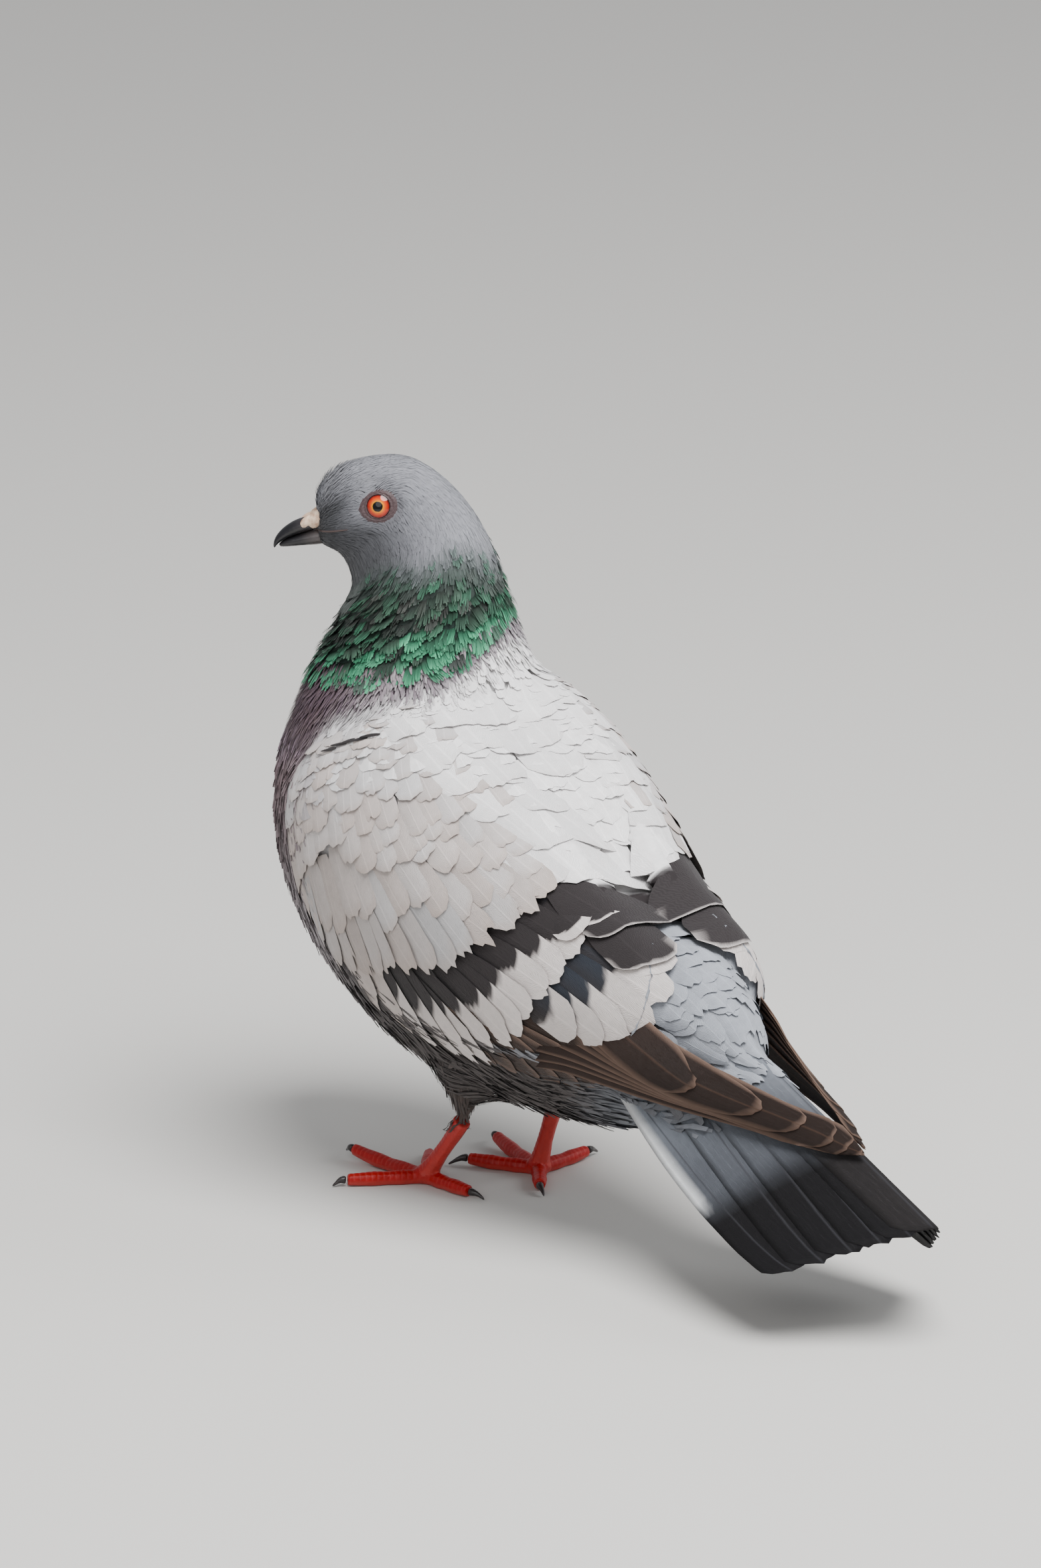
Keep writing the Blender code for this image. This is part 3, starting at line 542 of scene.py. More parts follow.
# %% Eye places and their dishes
EYE_RADIUS, EYE_SETTING = 5.5, 5.0  # the ball, and how deep its middle lies under the patch, in mm
LID_LEVEL, LID_STRETCH = 4.1, 1.18  # how far out the lids lie, and how much wider than high they are
SOCKET, RIM = 7.2, 11.0  # the solid's socket, and the ring round it that the patch is fitted to
SIDES = (("left", 1.0), ("right", -1.0))
run_way, up_way, left_way = (np.array(way) for way in cross_axes(HEAD_TURN, -BILL_DROP))
eye_axes, eye_middles = {}, {}


def curved_terms(x, y):
    """The terms of a gently curved patch."""
    return np.stack([np.ones_like(x), x, y, x * x, y * y, x * y], -1)


def eye_frame(axis):
    """Which way is ahead and which is up, square to the way the eye looks."""
    ahead = -run_way + axis * (run_way @ axis)
    ahead = ahead / np.linalg.norm(ahead)
    above = np.cross(axis, ahead)
    return ahead, above * np.sign(above[2])


def eye_distance(points):
    """How far each place is from the nearer eye's axis, and how far out along it, in mm."""
    best, out = np.full(np.shape(points)[:-1], 99.0), np.zeros(np.shape(points)[:-1])
    for side, axis in eye_axes.items():
        ahead, above = eye_frame(axis)
        offset = (points - eye_middles[side]) / MM
        along = offset @ axis
        away = np.hypot(offset @ ahead / LID_STRETCH, offset @ above)
        nearer = (along > 0) & (away < best)
        best, out = np.where(nearer, away, best), np.where(nearer, along, out)
    return best, out


dished = body_map.grid.copy()
for side, sign in SIDES:
    middle = np.array(head_spot(1.7, 3.0, 7.0 * sign))
    offset = (dished - middle) / MM
    x, y, out = -offset @ run_way, offset @ up_way, offset @ left_way * sign
    away = np.hypot(x, y)
    ring = (out > -2) & (away > SOCKET) & (away < RIM)
    fit = np.linalg.lstsq(curved_terms(x[ring], y[ring]), out[ring], rcond=None)[0]
    bridged = (curved_terms(x, y) @ fit - out) * (1 - step(SOCKET, away, 1.6)) * (out > -7)
    dished += (bridged * MM)[..., None] * left_way * sign
    facing = left_way * sign + run_way * fit[1] - up_way * fit[2]
    facing /= np.linalg.norm(facing)
    axis = facing * 0.6 + left_way * sign * 0.4
    eye_axes[side] = axis / np.linalg.norm(axis)
    surface = fit[0] * (left_way * sign @ facing) / (eye_axes[side] @ facing)
    eye_middles[side] = middle + eye_axes[side] * (surface - EYE_SETTING) * MM
    print(side, "eye moved out by", round(surface - EYE_SETTING, 2), "mm")
away, _ = eye_distance(dished)
calm = softened(dished.copy(), 8, True)
dished += (calm - dished) * (1 - step(8.0, away, 2.5))[..., None]
away, out = eye_distance(dished)
dip = np.maximum(out - LID_LEVEL, 0.0) * (1 - step(5.7, away, 3.0)) * (out < 12)
for side, axis in eye_axes.items():
    mine = ((dished - eye_middles[side]) @ axis > 0) & (away < 9)
    dished[mine] -= axis * (dip[mine] * MM)[:, None]
body_map = body_map.over(dished)

# %% [markdown]
# A folded wing is a curved shield. Its map is made by looking at it square on: p runs back along
# the bird and q up the flank, in mm. The right wing has the same map, mirrored.

# %% Maps of both wings
FLANK_SLOPE = math.radians(30.0)
P_RANGE, Q_RANGE = (-48.0, 122.0), (18.0, 146.0)
OUTSIDE, RAY = 120.0, 140.0  # where the rays start and how far they go, in mm
GRAZING = 0.12  # surface that faces away more than this is left to the filling in


def flank_axes(side):
    """Square out from a flank, and up along it."""
    return (Vector((side * math.cos(FLANK_SLOPE), 0.0, math.sin(FLANK_SLOPE))),
            Vector((-side * math.sin(FLANK_SLOPE), 0.0, math.cos(FLANK_SLOPE))))


def mapped_flank(side):
    """Maps one flank by rays sent in square to it. Places that they miss are filled in."""
    square, rise = flank_axes(side)
    rows, columns = 171, 129
    depth = np.full((rows, columns), np.nan)
    for i, p in enumerate(np.linspace(*P_RANGE, rows)):
        for j, q in enumerate(np.linspace(*Q_RANGE, columns)):
            start = STANCE + (Vector((0.0, p, 0.0)) + rise * q + square * OUTSIDE) * MM
            hit, normal, _, far = form_tree.ray_cast(start, -square, RAY * MM)
            if hit is not None and normal.dot(square) > GRAZING:
                depth[i, j] = OUTSIDE * MM - far
    known = ~np.isnan(depth)
    filled = np.where(known, depth, 0.0)
    weight = known.astype(float)
    for _ in range(60):
        total, share = np.zeros_like(filled), np.zeros_like(weight)
        for shift, axis in ((1, 0), (-1, 0), (1, 1), (-1, 1)):
            total += np.roll(filled * weight, shift, axis)
            share += np.roll(weight, shift, axis)
        spread_in = np.where(share > 0, total / np.maximum(share, 1e-9), 0.0)
        filled = np.where(known, depth, spread_in)
        weight = np.where(known, 1.0, np.minimum(share, 1.0) * 0.98)
    p, q = np.meshgrid(np.linspace(*P_RANGE, rows), np.linspace(*Q_RANGE, columns), indexing="ij")
    grid = (np.array(STANCE) + p[..., None] * MM * np.array((0.0, 1.0, 0.0))
            + q[..., None] * MM * np.array(rise) + filled[..., None] * np.array(square))
    return SurfaceMap(softened(grid, 5, False), P_RANGE, Q_RANGE, False, np.array(square))


flank_maps = {"left": mapped_flank(1), "right": mapped_flank(-1)}
print("wings mapped:", flank_maps["left"].grid.shape)

# %% [markdown]
# Every feather starts as the same small grid. Its rows run from root to tip and its columns
# across the vane. The grid is spread, its end rounded and frayed, and it is then bent to the
# surface by looking each of its corners up in the map. All feathers of one tract are joined in
# one mesh.


# %% One feather's grid
def vane_grid(columns, rows):
    """Corners of a flat grid as (along 0..1, across -1..1), and its faces."""
    bm = bmesh.new()
    bmesh.ops.create_grid(bm, x_segments=columns, y_segments=rows, size=1.0)
    bm.verts.ensure_lookup_table()
    along = np.array([(v.co.y + 1) / 2 for v in bm.verts])
    across = np.array([v.co.x for v in bm.verts])
    faces = np.array([[v.index for v in f.verts] for f in bm.faces])
    bm.free()
    return along, across, faces


def each(value, count=None):
    """A column of one value for each feather, ready to combine with the grid's corners."""
    value = np.asarray(value, float)
    return (value if count is None else np.broadcast_to(value, count)).reshape(-1, 1)


def as_tract(surface, points, grid, middles):
    """Feathers as one record: corners, faces turned outward, shares, and places to bake to."""
    along, across, faces = grid
    corners = points.shape[:2]
    return {"points": points, "faces": faces if surface.handed < 0 else faces[:, ::-1],
            "along": np.broadcast_to(along, corners), "across": np.broadcast_to(across, corners),
            "bake": surface.unwrapped(*middles)}


def feathers(surface, u, v, turn, length, width, grid, root_lift, tip_lift, base=0.45, end=0.9,
             fray=0.05, camber=0.08, tilt=0.0, taper=0.0, aside=0.0, ends=None):
    """Lays feathers on a map. Lengths are in mm and turn is in degrees from the map's u line.

    base is the root's width as a share of the whole, end how round the tip is, fray how ragged,
    camber how arched the vane, tilt how much one edge lies over the next feather, taper how
    pointed the tip, and aside a shift of the whole across its own line, in mm. ends, where given,
    are the tips' own places on the map."""
    along, across, _ = grid
    count = len(u)
    length, width, root_lift, tip_lift, turn, aside = (
        each(value, count) for value in (length, width, root_lift, tip_lift, turn, aside))
    a, b = along[None, :], across[None, :]
    spread = base + (1 - base) * np.sin(np.minimum(a / 0.62, 1.0) * math.pi / 2)
    spread = spread * (1 - taper * a ** 2)
    half = width / 2
    arc = half * end * (1 - np.sqrt(np.maximum(1 - (0.985 * b) ** 2, 0.0)))
    ragged = rng.normal(0.0, 1.0, (count, len(along))) * fray * length * a ** 6
    x = length * a - arc * a ** 1.5 + ragged
    y = half * spread * b + aside
    z = (root_lift + (tip_lift - root_lift) * a ** 0.8 - camber * width * b ** 2 * np.minimum(a * 1.6, 1.0)
         + tilt * b * np.minimum(a * 2.0, 1.0))
    turn = np.radians(turn)
    near_u, near_v = (stride / MM for stride in surface.strides(u, v))
    near_u, near_v = each(np.maximum(near_u, 0.25)), each(np.maximum(near_v, 0.02))
    along_u, along_v = x * np.cos(turn) / near_u, x * np.sin(turn) / near_v
    if ends is not None:
        along_u, along_v = x / length * each(ends[0] - u), x / length * each(ends[1] - v)
    du = along_u - y * np.sin(turn) / near_u
    dv = along_v + y * np.cos(turn) / near_v
    return as_tract(surface, surface.place(each(u) + du, each(v) + dv, z * MM), grid, (u, v))

# %% [markdown]
# Feathers follow the body, but those of the neck hang down whichever way the head is turned. So
# one helper finds a turn on the map from a direction in space. Another splits a feather into
# strands, because hackles are loose at the end where back feathers are whole.


# %% Turns, strands and paint
def turn_towards(surface, u, v, direction):
    """The turn, in degrees from the map's u line, that points a feather in a given direction."""
    run = surface.read(surface.step_u, u, v)
    across = surface.read(surface.step_v, u, v)
    run = run / np.linalg.norm(run, axis=-1, keepdims=True)
    across = across / np.linalg.norm(across, axis=-1, keepdims=True)
    skew = (run * across).sum(-1)
    on_run, on_across = run @ np.asarray(direction), across @ np.asarray(direction)
    return np.degrees(np.arctan2(on_across - skew * on_run, on_run - skew * on_across))


def strands(count, each_has, width, spread, fan):
    """Splits broad feathers into narrow strands: which feather, its shift across, its turn."""
    number = np.repeat(np.arange(count), each_has)
    share = np.tile(np.linspace(-1, 1, each_has), count)
    width = np.repeat(width, each_has)
    return number, share * width * spread / 2, share * fan + rng.normal(0, 2.0, len(share)), share


def painted(tract, colour_at):
    """Adds colours, from a function of the share along the feather and the share across."""
    tract["tone"] = colour_at(tract["along"], tract["across"])
    return tract


def paint_on(mesh, colours):
    """Lays a colour on each corner."""
    layer = mesh.attributes.get("tone") or mesh.attributes.new("tone", "FLOAT_COLOR", "POINT")
    rgba = np.column_stack([colours, np.ones(len(colours))])
    layer.data.foreach_set("color", rgba.astype(np.float32).ravel())


def finished(made, colours, finish):
    """Paints a piece, gives it its finish and lets it ride on the bird."""
    paint_on(made.data, colours)
    made.data.shade_smooth()
    made.data.materials.clear()
    made.data.materials.append(finish)
    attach(made, "root")
    return made

# %% [markdown]
# Thousands of feathers as separate objects would be slow, so a coat is one mesh. Every feather is
# a copy of a grid that an operator made, and arrays place the corners of all of them at once.
# Each feather gets its own small patch of a map that colours can be baked to.


# %% Joining feathers into a coat
PATCH = 0.003  # how much of the bake map one feather takes


def coat_object(name, tracts, finish, thickness=0.0):
    """Joins tracts of feathers into one mesh object that rides on the bird."""
    points, faces, tones, vane, bake = [], [], [], [], []
    offset = 0
    for tract in tracts:
        count, corners = tract["points"].shape[:2]
        along, across = tract["along"], tract["across"]
        flat_u, flat_v = (each(value) for value in tract["bake"])
        points.append(tract["points"].reshape(-1, 3))
        starts = offset + np.arange(count)[:, None, None] * corners
        faces.append((tract["faces"][None] + starts).reshape(-1, 4))
        tones.append(np.broadcast_to(tract["tone"], (count, corners, 3)).reshape(-1, 3))
        vane.append(np.stack([across * 0.5 + 0.5, along], -1).reshape(-1, 2))
        bake.append(np.stack([flat_v + across * PATCH / 2, flat_u + (along - 0.5) * PATCH], -1).reshape(-1, 2))
        offset += count * corners
    points, faces, tones, vane, bake = (np.concatenate(rows) for rows in (points, faces, tones, vane, bake))
    mesh = bpy.data.meshes.new(name)
    mesh.vertices.add(len(points))
    mesh.vertices.foreach_set("co", points.astype(np.float32).ravel())
    mesh.loops.add(faces.size)
    mesh.loops.foreach_set("vertex_index", faces.astype(np.int32).ravel())
    mesh.polygons.add(len(faces))
    mesh.polygons.foreach_set("loop_start", np.arange(0, faces.size, 4, dtype=np.int32))
    mesh.update(calc_edges=True)
    for label, values in (("OFBake", bake), ("vane", vane)):
        layer = mesh.uv_layers.new(name=label)
        layer.data.foreach_set("uv", values[faces.ravel()].astype(np.float32).ravel())
    made = finished(placed(name, mesh), tones, finish)
    if thickness:
        wall = made.modifiers.new("wall", "SOLIDIFY")
        wall.thickness = thickness
        wall.offset = -1.0
    print(f"{name}: {len(faces) * 2} triangles")
    return made


# %% [markdown]
# The markings come first as colours and rules, so that skin and feathers share them: a slate
# head, a green belt with a purple border on the neck, cream back and wing coverts, dark belly,
# pale rump.

# %% Colours of the plumage
SLATE = tone(118, 119, 125)
# The paler slate is the head's slate with painted light from above. SLATE_DARK is painted shade under the
# head, and it also darkens the face next to the bill.
SLATE_TOP_LIT = tone(134, 135, 141)
SLATE_DARK = tone(64, 65, 68)
NECK_GREY = tone(66, 76, 72)
EMERALD = tone(76, 160, 120)
GREEN_SHADE = tone(40, 60, 54)
PURPLE = tone(120, 103, 116)
BREAST_MAUVE = tone(122, 104, 108)
BREAST_GREY = tone(150, 143, 146)
BELLY = tone(92, 88, 88)
FLANK_DARK = tone(74, 69, 68)
MANTLE = tone(238, 236, 236)
COVERT = tone(199, 188, 183)
COVERT_COOL = tone(206, 204, 205)
COVERT_EDGE = tone(176, 160, 150)
BAR = tone(44, 40, 41)
BAR_BLUE = tone(42, 46, 54)
TIP_WHITE = tone(208, 200, 197)
RUMP = tone(150, 154, 162)
UNDERTAIL = tone(104, 107, 113)
TAIL_GREY = tone(130, 136, 145)
TAIL_DUSK = tone(66, 68, 74)
TAIL_BAND = tone(20, 19, 21)
TAIL_BROWN = tone(84, 78, 76)
WEB_WHITE = tone(214, 216, 218)
FLIGHT = tone(47, 36, 32)
FLIGHT_EDGE = tone(120, 98, 86)
SECONDARY = tone(46, 33, 27)


def neck_edges(v):
    """Stations where the hackles start, where they shine, where they end and where mauve ends."""
    around, aside = signed(v), aside_of(v)
    start = np.interp(aside, (0, 11, 46, 84, 156, 180), (7.2, 7.15, 6.65, 6.5, 5.3, 5.2))
    bright = np.interp(aside, (0, 66, 104, 129, 180), (8.05, 8.05, 8.25, 8.7, 8.8))
    low = np.interp(around, (-180, -90, -60, -40, -21, 0, 21, 36, 180),
                    (9.35, 9.35, 9.2, 8.85, 8.6, 8.65, 8.95, 9.35, 9.35))
    return start, bright, low, low + np.interp(aside, (0, 51, 81, 106, 180), (0.3, 0.35, 0.6, 0.8, 0.9))


def body_tone(u, v):
    """The plumage's colour at a place on the body map: u counts stations, v is degrees round."""
    u, v = np.asarray(u, float), np.asarray(v, float)
    aside = aside_of(v)
    under = step(110.0, aside, 50.0)
    start, bright, low, mauve_end = neck_edges(v)
    # Paler on top of the head and neck: painted light from above.
    colour = blend(SLATE_TOP_LIT, SLATE, step(62.0, aside, 70.0))
    # Darker under the head and neck: painted shade.
    colour = blend(colour, SLATE_DARK, step(108.0, aside, 60.0) * 0.8)
    colour = blend(colour, SLATE_DARK, (1 - step(2.6, u, 1.8)) * step(45.0, aside, 40.0) * 0.9)
    colour = blend(colour, NECK_GREY, step(0.0, u - start, 0.9))
    colour = blend(colour, GREEN_SHADE, step(0.0, u - bright, 0.6) * 0.8)
    colour = blend(colour, PURPLE, step(0.0, u - low, 0.3))
    pale_side = blend(MANTLE, COVERT_COOL, step(60.0, aside, 60.0))
    front = blend(BREAST_MAUVE, BREAST_GREY, step(11.2, u, 1.8))
    front = blend(front, BELLY, step(12.6, u, 1.4))
    lower = blend(pale_side, front, step(92.0, aside + (u - 10.0) * 2.0, 26.0))
    colour = blend(colour, lower, step(0.0, u - mauve_end, 0.4))
    colour = blend(colour, RUMP, step(15.2, u, 0.6) * step(100.0, -aside + 200.0, 30.0))
    flank = step(13.6, u, 2.0) * under
    colour = blend(colour, FLANK_DARK, flank * (1 - step(16.4, u, 1.5)))
    return blend(colour, UNDERTAIL, step(16.6, u, 1.2) * under)


# %% [markdown]
# Roots are scattered over the body so that none is closer to the next than the size of a
# feather there, as scales spread evenly. Each candidate is kept only if no earlier one is near.


# %% Even scattering
def at_stations(measure, u):
    """A measure that is one number everywhere, or (stations, values) to blend between."""
    return np.interp(u, *measure) if isinstance(measure, tuple) else measure


def scattered(surface, u_limits, gap, keep, tries):
    """Evenly spaced places on a map. gap is the spacing in mm, keep(u, v) a yes or no."""
    u = rng.uniform(*u_limits, tries)
    v = rng.uniform(0.0, 360.0, tries)
    size = np.prod(surface.strides(u, v), axis=0)
    wanted = (rng.uniform(0, size.max(), tries) < size) & keep(u, v)
    u, v = u[wanted], v[wanted]
    places = surface.place(u, v, np.zeros(len(u))) / MM
    gaps = np.broadcast_to(at_stations(gap, u), len(u))
    cell = float(gaps.max())
    taken, chosen = {}, []
    for n in range(len(u)):
        key = tuple((places[n] // cell).astype(int))
        near = [m for i in (-1, 0, 1) for j in (-1, 0, 1) for k in (-1, 0, 1)
                for m in taken.get((key[0] + i, key[1] + j, key[2] + k), ())]
        if near and (np.sum((places[near] - places[n]) ** 2, 1) < gaps[n] ** 2).any():
            continue
        taken.setdefault(key, []).append(n)
        chosen.append(n)
    return u[chosen], v[chosen]


def varied(count, amount):
    """Random factors round 1."""
    return 1.0 + rng.normal(0.0, amount, count)

# %% [markdown]
# What grows under a folded wing is never seen and would poke through it. A closed outline on the
# flank says where the wing lies, and body feathers grow only outside it.


# %% Where the folded wings cover the body
# The outline of a folded wing on the flank: how far back and how far up, in mm
WING_COVERS = np.array([(-24, 50), (-10, 43), (4, 38), (20, 34), (36, 34), (56, 35), (74, 38), (86, 43),
                        (94, 48), (98, 57), (96, 68), (89, 77), (80, 84), (70, 100), (40, 112), (20, 108),
                        (6, 102), (-8, 93), (-19, 83), (-24, 70)], float)


def inside(corners, p, q):
    """True for each place within a closed outline."""
    result = np.zeros(np.shape(p), bool)
    for (p1, q1), (p2, q2) in zip(corners, np.roll(corners, -1, axis=0)):
        crosses = ((q1 > q) != (q2 > q)) & (p < (p2 - p1) * (q - q1) / (q2 - q1 + 1e-12) + p1)
        result ^= crosses
    return result


def flank_place(points):
    """How far back and how far up the flank each place is, in mm, on its own side of the bird."""
    offset = (np.asarray(points) - np.array(STANCE)) / MM
    rise = -np.abs(offset[..., 0]) * math.sin(FLANK_SLOPE) + offset[..., 2] * math.cos(FLANK_SLOPE)
    return offset[..., 1], rise


def under_wing(u, v):
    """True where a place on the body is hidden by a folded wing. The middle of the back is not."""
    place = body_map.place(u, v, np.zeros(np.shape(u)))
    middle = np.interp((place[..., 1] - STANCE.y) / MM, (58, 70), (17, 11))
    return inside(WING_COVERS, *flank_place(place)) & (np.abs(place[..., 0] - STANCE.x) > middle * MM)


# %% [markdown]
# One skin lies under all the feathers. It is the flesh form drawn in by the coat's depth, so no
# seam shows between head, neck and trunk. Round each eye it keeps under the dish for the lids.
# The scaly legs are remeshed more finely and joined to it.

# %% The skin's depth
points, normals = arrays_of(form.data)
CELLS_ALONG, CELLS_ROUND = MAP_ROWS - 1, MAP_COLUMNS - 1
first_corners = [i * MAP_COLUMNS + j for i in range(CELLS_ALONG) for j in range(CELLS_ROUND)]
lookup = BVHTree.FromPolygons([Vector(p) for p in body_map.grid.reshape(-1, 3)],
                              [(n, n + 1, n + MAP_COLUMNS + 1, n + MAP_COLUMNS) for n in first_corners])


def body_place(place):
    """Station and angle on the body map of the nearest place there."""
    found = lookup.find_nearest(Vector(place))[2]
    return ((found // CELLS_ROUND + 0.5) / CELLS_ALONG * LAST_STATION,
            (found % CELLS_ROUND + 0.5) / CELLS_ROUND * 360.0)


where_u, where_v = np.array([body_place(p) for p in points]).T
depth = np.interp(where_u, (0, 4, 7, 10, 21), (0.3, 0.34, 0.7, 1.4, 1.6)) + drawn_in(where_u, where_v)
skin_points = points - normals * (depth * MM)[:, None]
DISH, DISH_EDGE, UNDER_DISH = 8.0, 9.5, 0.4  # where the skin keeps under the dish, and how far, in mm
HIGH = 16.0  # where rays towards the dish start
for side, axis in eye_axes.items():
    offset = (skin_points - eye_middles[side]) / MM
    ahead, above = eye_frame(axis)
    reach = np.hypot(offset @ ahead, offset @ above)
    for n in np.flatnonzero((offset @ axis > -3.0) & (reach < DISH_EDGE)):
        flat = offset[n] - axis * (offset[n] @ axis)
        start = Vector(eye_middles[side] + (flat + axis * HIGH) * MM)
        found = lookup.ray_cast(start, Vector(-axis), 30 * MM)[3]
        if found:
            level = HIGH - found / MM - UNDER_DISH
            level = level if reach[n] < DISH else min(offset[n] @ axis, level)
            skin_points[n] = eye_middles[side] + (flat + axis * level) * MM
# The skin is darkened where it lies under the coat, most at the neck: painted shade between the feathers.
shaded = np.interp(where_u, (0, 6, 7, 8, 9.5, 10), (0.95, 0.95, 0.85, 0.5, 0.6, 0.85))
skin_tone = body_tone(where_u, where_v) * shaded[:, None]
p_back, q_up = flank_place(points)
over_wing = inside(WING_COVERS, p_back, q_up) & (points[:, 2] > STANCE.z + 30 * MM)
dark_part = step(50.0, p_back, 12.0) * (1 - step(82.0, q_up, 3.0) * (1 - step(67.0, p_back, 2.0)))
# Under a wing the skin takes the colours of the feathers over it, and the pale ones are darkened a little as
# painted shade.
under_coat = blend(blend(COVERT_COOL, MANTLE, step(78.0, q_up, 6.0)) * 0.95, BAR, dark_part)
under_coat = blend(under_coat, FLANK_DARK, 1 - step(41.0, q_up, 5.0))
skin_tone[over_wing] = under_coat[over_wing]
UNDER_WING = 2.4  # how far the skin keeps below a folded wing's surface, in mm
for side, sign in SIDES:
    square = np.array(flank_axes(sign)[0])
    mine = over_wing & ((skin_points[:, 0] - STANCE.x) * sign > 0)
    roof = flank_maps[side].place(p_back[mine], q_up[mine], np.full(mine.sum(), -UNDER_WING * MM))
    above = np.maximum(((skin_points[mine] - roof) * square).sum(1), 0.0)
    skin_points[mine] -= above[:, None] * square
form.data.vertices.foreach_set("co", skin_points.ravel())
print("skin has", len(points), "corners")

# %% [markdown]
# The legs' scutes are low plates, one behind another along each toe and up the shank. Each
# corner of the fine mesh finds its nearest toe bone and rises by where it lies between grooves.

# %% Scaly legs
# Ends of the toes, measured from the hub of their foot; the hubs; the tops of the shanks; in mm
TOES = {
    "left": [(-0.3, 19), (-14, -15.5), (3, -29.5), (20, -12)],
    "right": [(10.2, 12.6), (11, -18.6), (-6.6, -27), (-20, -2)],
}
HUBS = {"left": (15.2, -7.2), "right": (-15.0, 7.8)}
ANKLES = {"left": (15, 11.5, 26.5), "right": (-15, 16.5, 28)}
SCUTE = 1.75  # mm from one groove to the next
legs = remeshed(copy_of(["left_foot", "left_tarsus", "right_foot", "right_tarsus"], "legs"), 0.42 * MM, 3)
leg_points, leg_normals = arrays_of(legs.data)
nearest = np.full(len(leg_points), 1e9)
run_along, on_top = np.zeros(len(leg_points)), np.zeros(len(leg_points))
for side, _ in SIDES:
    hub = np.array(spot(*HUBS[side], 1.8))
    ends = [np.array(spot(HUBS[side][0] + x, HUBS[side][1] + y, 2.0)) for x, y in TOES[side]]
    for number, end in enumerate(ends + [np.array(spot(*ANKLES[side]))]):
        bone = end - hub
        share = np.clip((leg_points - hub) @ bone / (bone @ bone), 0.0, 1.0)
        away = np.linalg.norm(leg_points - hub - share[:, None] * bone, axis=1)
        closer = away < nearest
        nearest = np.where(closer, away, nearest)
        run_along = np.where(closer, share * np.linalg.norm(bone) / MM + number * 0.4, run_along)
        front = leg_normals[:, 2] if number < 4 else -leg_normals[:, 1]
        on_top = np.where(closer, front, on_top)
plate = np.abs(np.sin(math.pi * run_along / SCUTE))
raised = np.clip(on_top * 1.6 + 0.3, 0.0, 1.0)
sole = step(0.9, leg_points[:, 2] / MM, 1.2)
rise = (plate ** 0.5 - 0.7) * 0.1 * raised * sole
legs.data.vertices.foreach_set("co", (leg_points + leg_normals * (rise * MM)[:, None]).ravel())
LEG_RED, LEG_PALE, LEG_DEEP = tone(166, 6, 6), tone(188, 66, 60), tone(120, 3, 4)
leg_tone = blend(LEG_PALE, LEG_RED, np.clip(on_top * 1.4 + 0.75, 0.15, 1.0))
leg_tone = blend(leg_tone, LEG_PALE, (1 - step(0.32, plate, 0.3)) * 0.5 * raised)
leg_tone = blend(leg_tone, LEG_DEEP, step(9.0, leg_points[:, 2] / MM, 14.0) * 0.25)
print("legs have", len(leg_points), "corners")

# %% [markdown]
# Bare skin and horn have a pebbled surface, which a cell pattern shows as a fine bump. The
# feathered skin and the scaly legs are two meshes with two finishes. Here they become one piece,
# because together they stand in for the solids of head, neck, trunk, thighs, shanks and feet.


# %% Skin finish and the joined skin
def surface_finish(name, roughness, grain_scale, bump, distance, depth, specular=0.5):
    """A finish for skin or horn: the painted tone, blotched, with a cellular bump."""
    made, tree, shader, colour = painted_material(name, grain_scale * 0.35, depth, roughness, specular)
    tree.links.new(colour, shader.inputs["Base Color"])
    cells = new_node(tree, "TexVoronoi", Scale=grain_scale)
    tree.links.new(new_node(tree, "TexCoord").outputs["Object"], cells.inputs["Vector"])
    bump_from(tree, shader, cells.outputs["Distance"], bump, distance)
    return made


down_skin = surface_finish("down_skin", 0.9, 900.0, 0.3, 0.0004, 0.25, 0.2)
scaly_skin = surface_finish("scaly_skin", 0.42, 1500.0, 0.35, 0.00015, 0.22, 0.3)
paint_on(form.data, skin_tone)
paint_on(legs.data, leg_tone)
form.data.materials.clear()
form.data.materials.append(down_skin)
legs.data.materials.clear()
legs.data.materials.append(scaly_skin)
bm = bmesh.new()
bm.from_mesh(form.data)
body_faces = len(bm.faces)
bm.from_mesh(legs.data)
for face in bm.faces[body_faces:]:
    face.material_index = 1
skin = placed("skin", mesh_of(bm, "skin"))
skin.data.materials.append(down_skin)
skin.data.materials.append(scaly_skin)
skin.data.shade_smooth()
for spare in (form, tail_form, legs):
    bpy.data.objects.remove(spare)
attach(skin, "root")
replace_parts(skin, "head", "neck", "trunk", "left_thigh", "right_thigh", "left_foot", "right_foot",
            "left_tarsus", "right_tarsus")
print("skin:", len(skin.data.polygons), "faces")

# %% [markdown]
# Head feathers are tiny and hair-like. They are shortest round the bill and the eyes and lie
# back from the bill. Those of the forehead stand up a little.


# %% Head coat
DOWNWARD = np.array((0.0, 0.0, -1.0))


def under_throat(v):
    """Under the throat the head's feathers reach further down."""
    return aside_of(v) > 155


OFF_LIDS, TIPS_OFF_LIDS, OFF_CERE = 4.15, 4.1, 3.4  # how far hair keeps away from them, in mm


def head_keep(u, v):
    """Off the lids and the cere, and not far below the hackles' upper edge."""
    place = body_map.place(u, v, np.zeros(len(u)))
    away, _ = eye_distance(place)
    cere_middle, cere_shape = np.array(head_spot(21.6, 3.9)), np.array((1.0, 1.0, 0.8))
    from_cere = np.linalg.norm((place - cere_middle) / MM / cere_shape, axis=1)
    near_u = body_map.strides(u, v)[0] / MM
    tip_away, _ = eye_distance(body_map.place(u + 1.5 / np.maximum(near_u, 0.25), v, np.zeros(len(u))))
    start = np.where(under_throat(v), 6.9, neck_edges(v)[0])
    return (away > OFF_LIDS) & (tip_away > TIPS_OFF_LIDS) & (from_cere > OFF_CERE) & (u < start + 0.5)


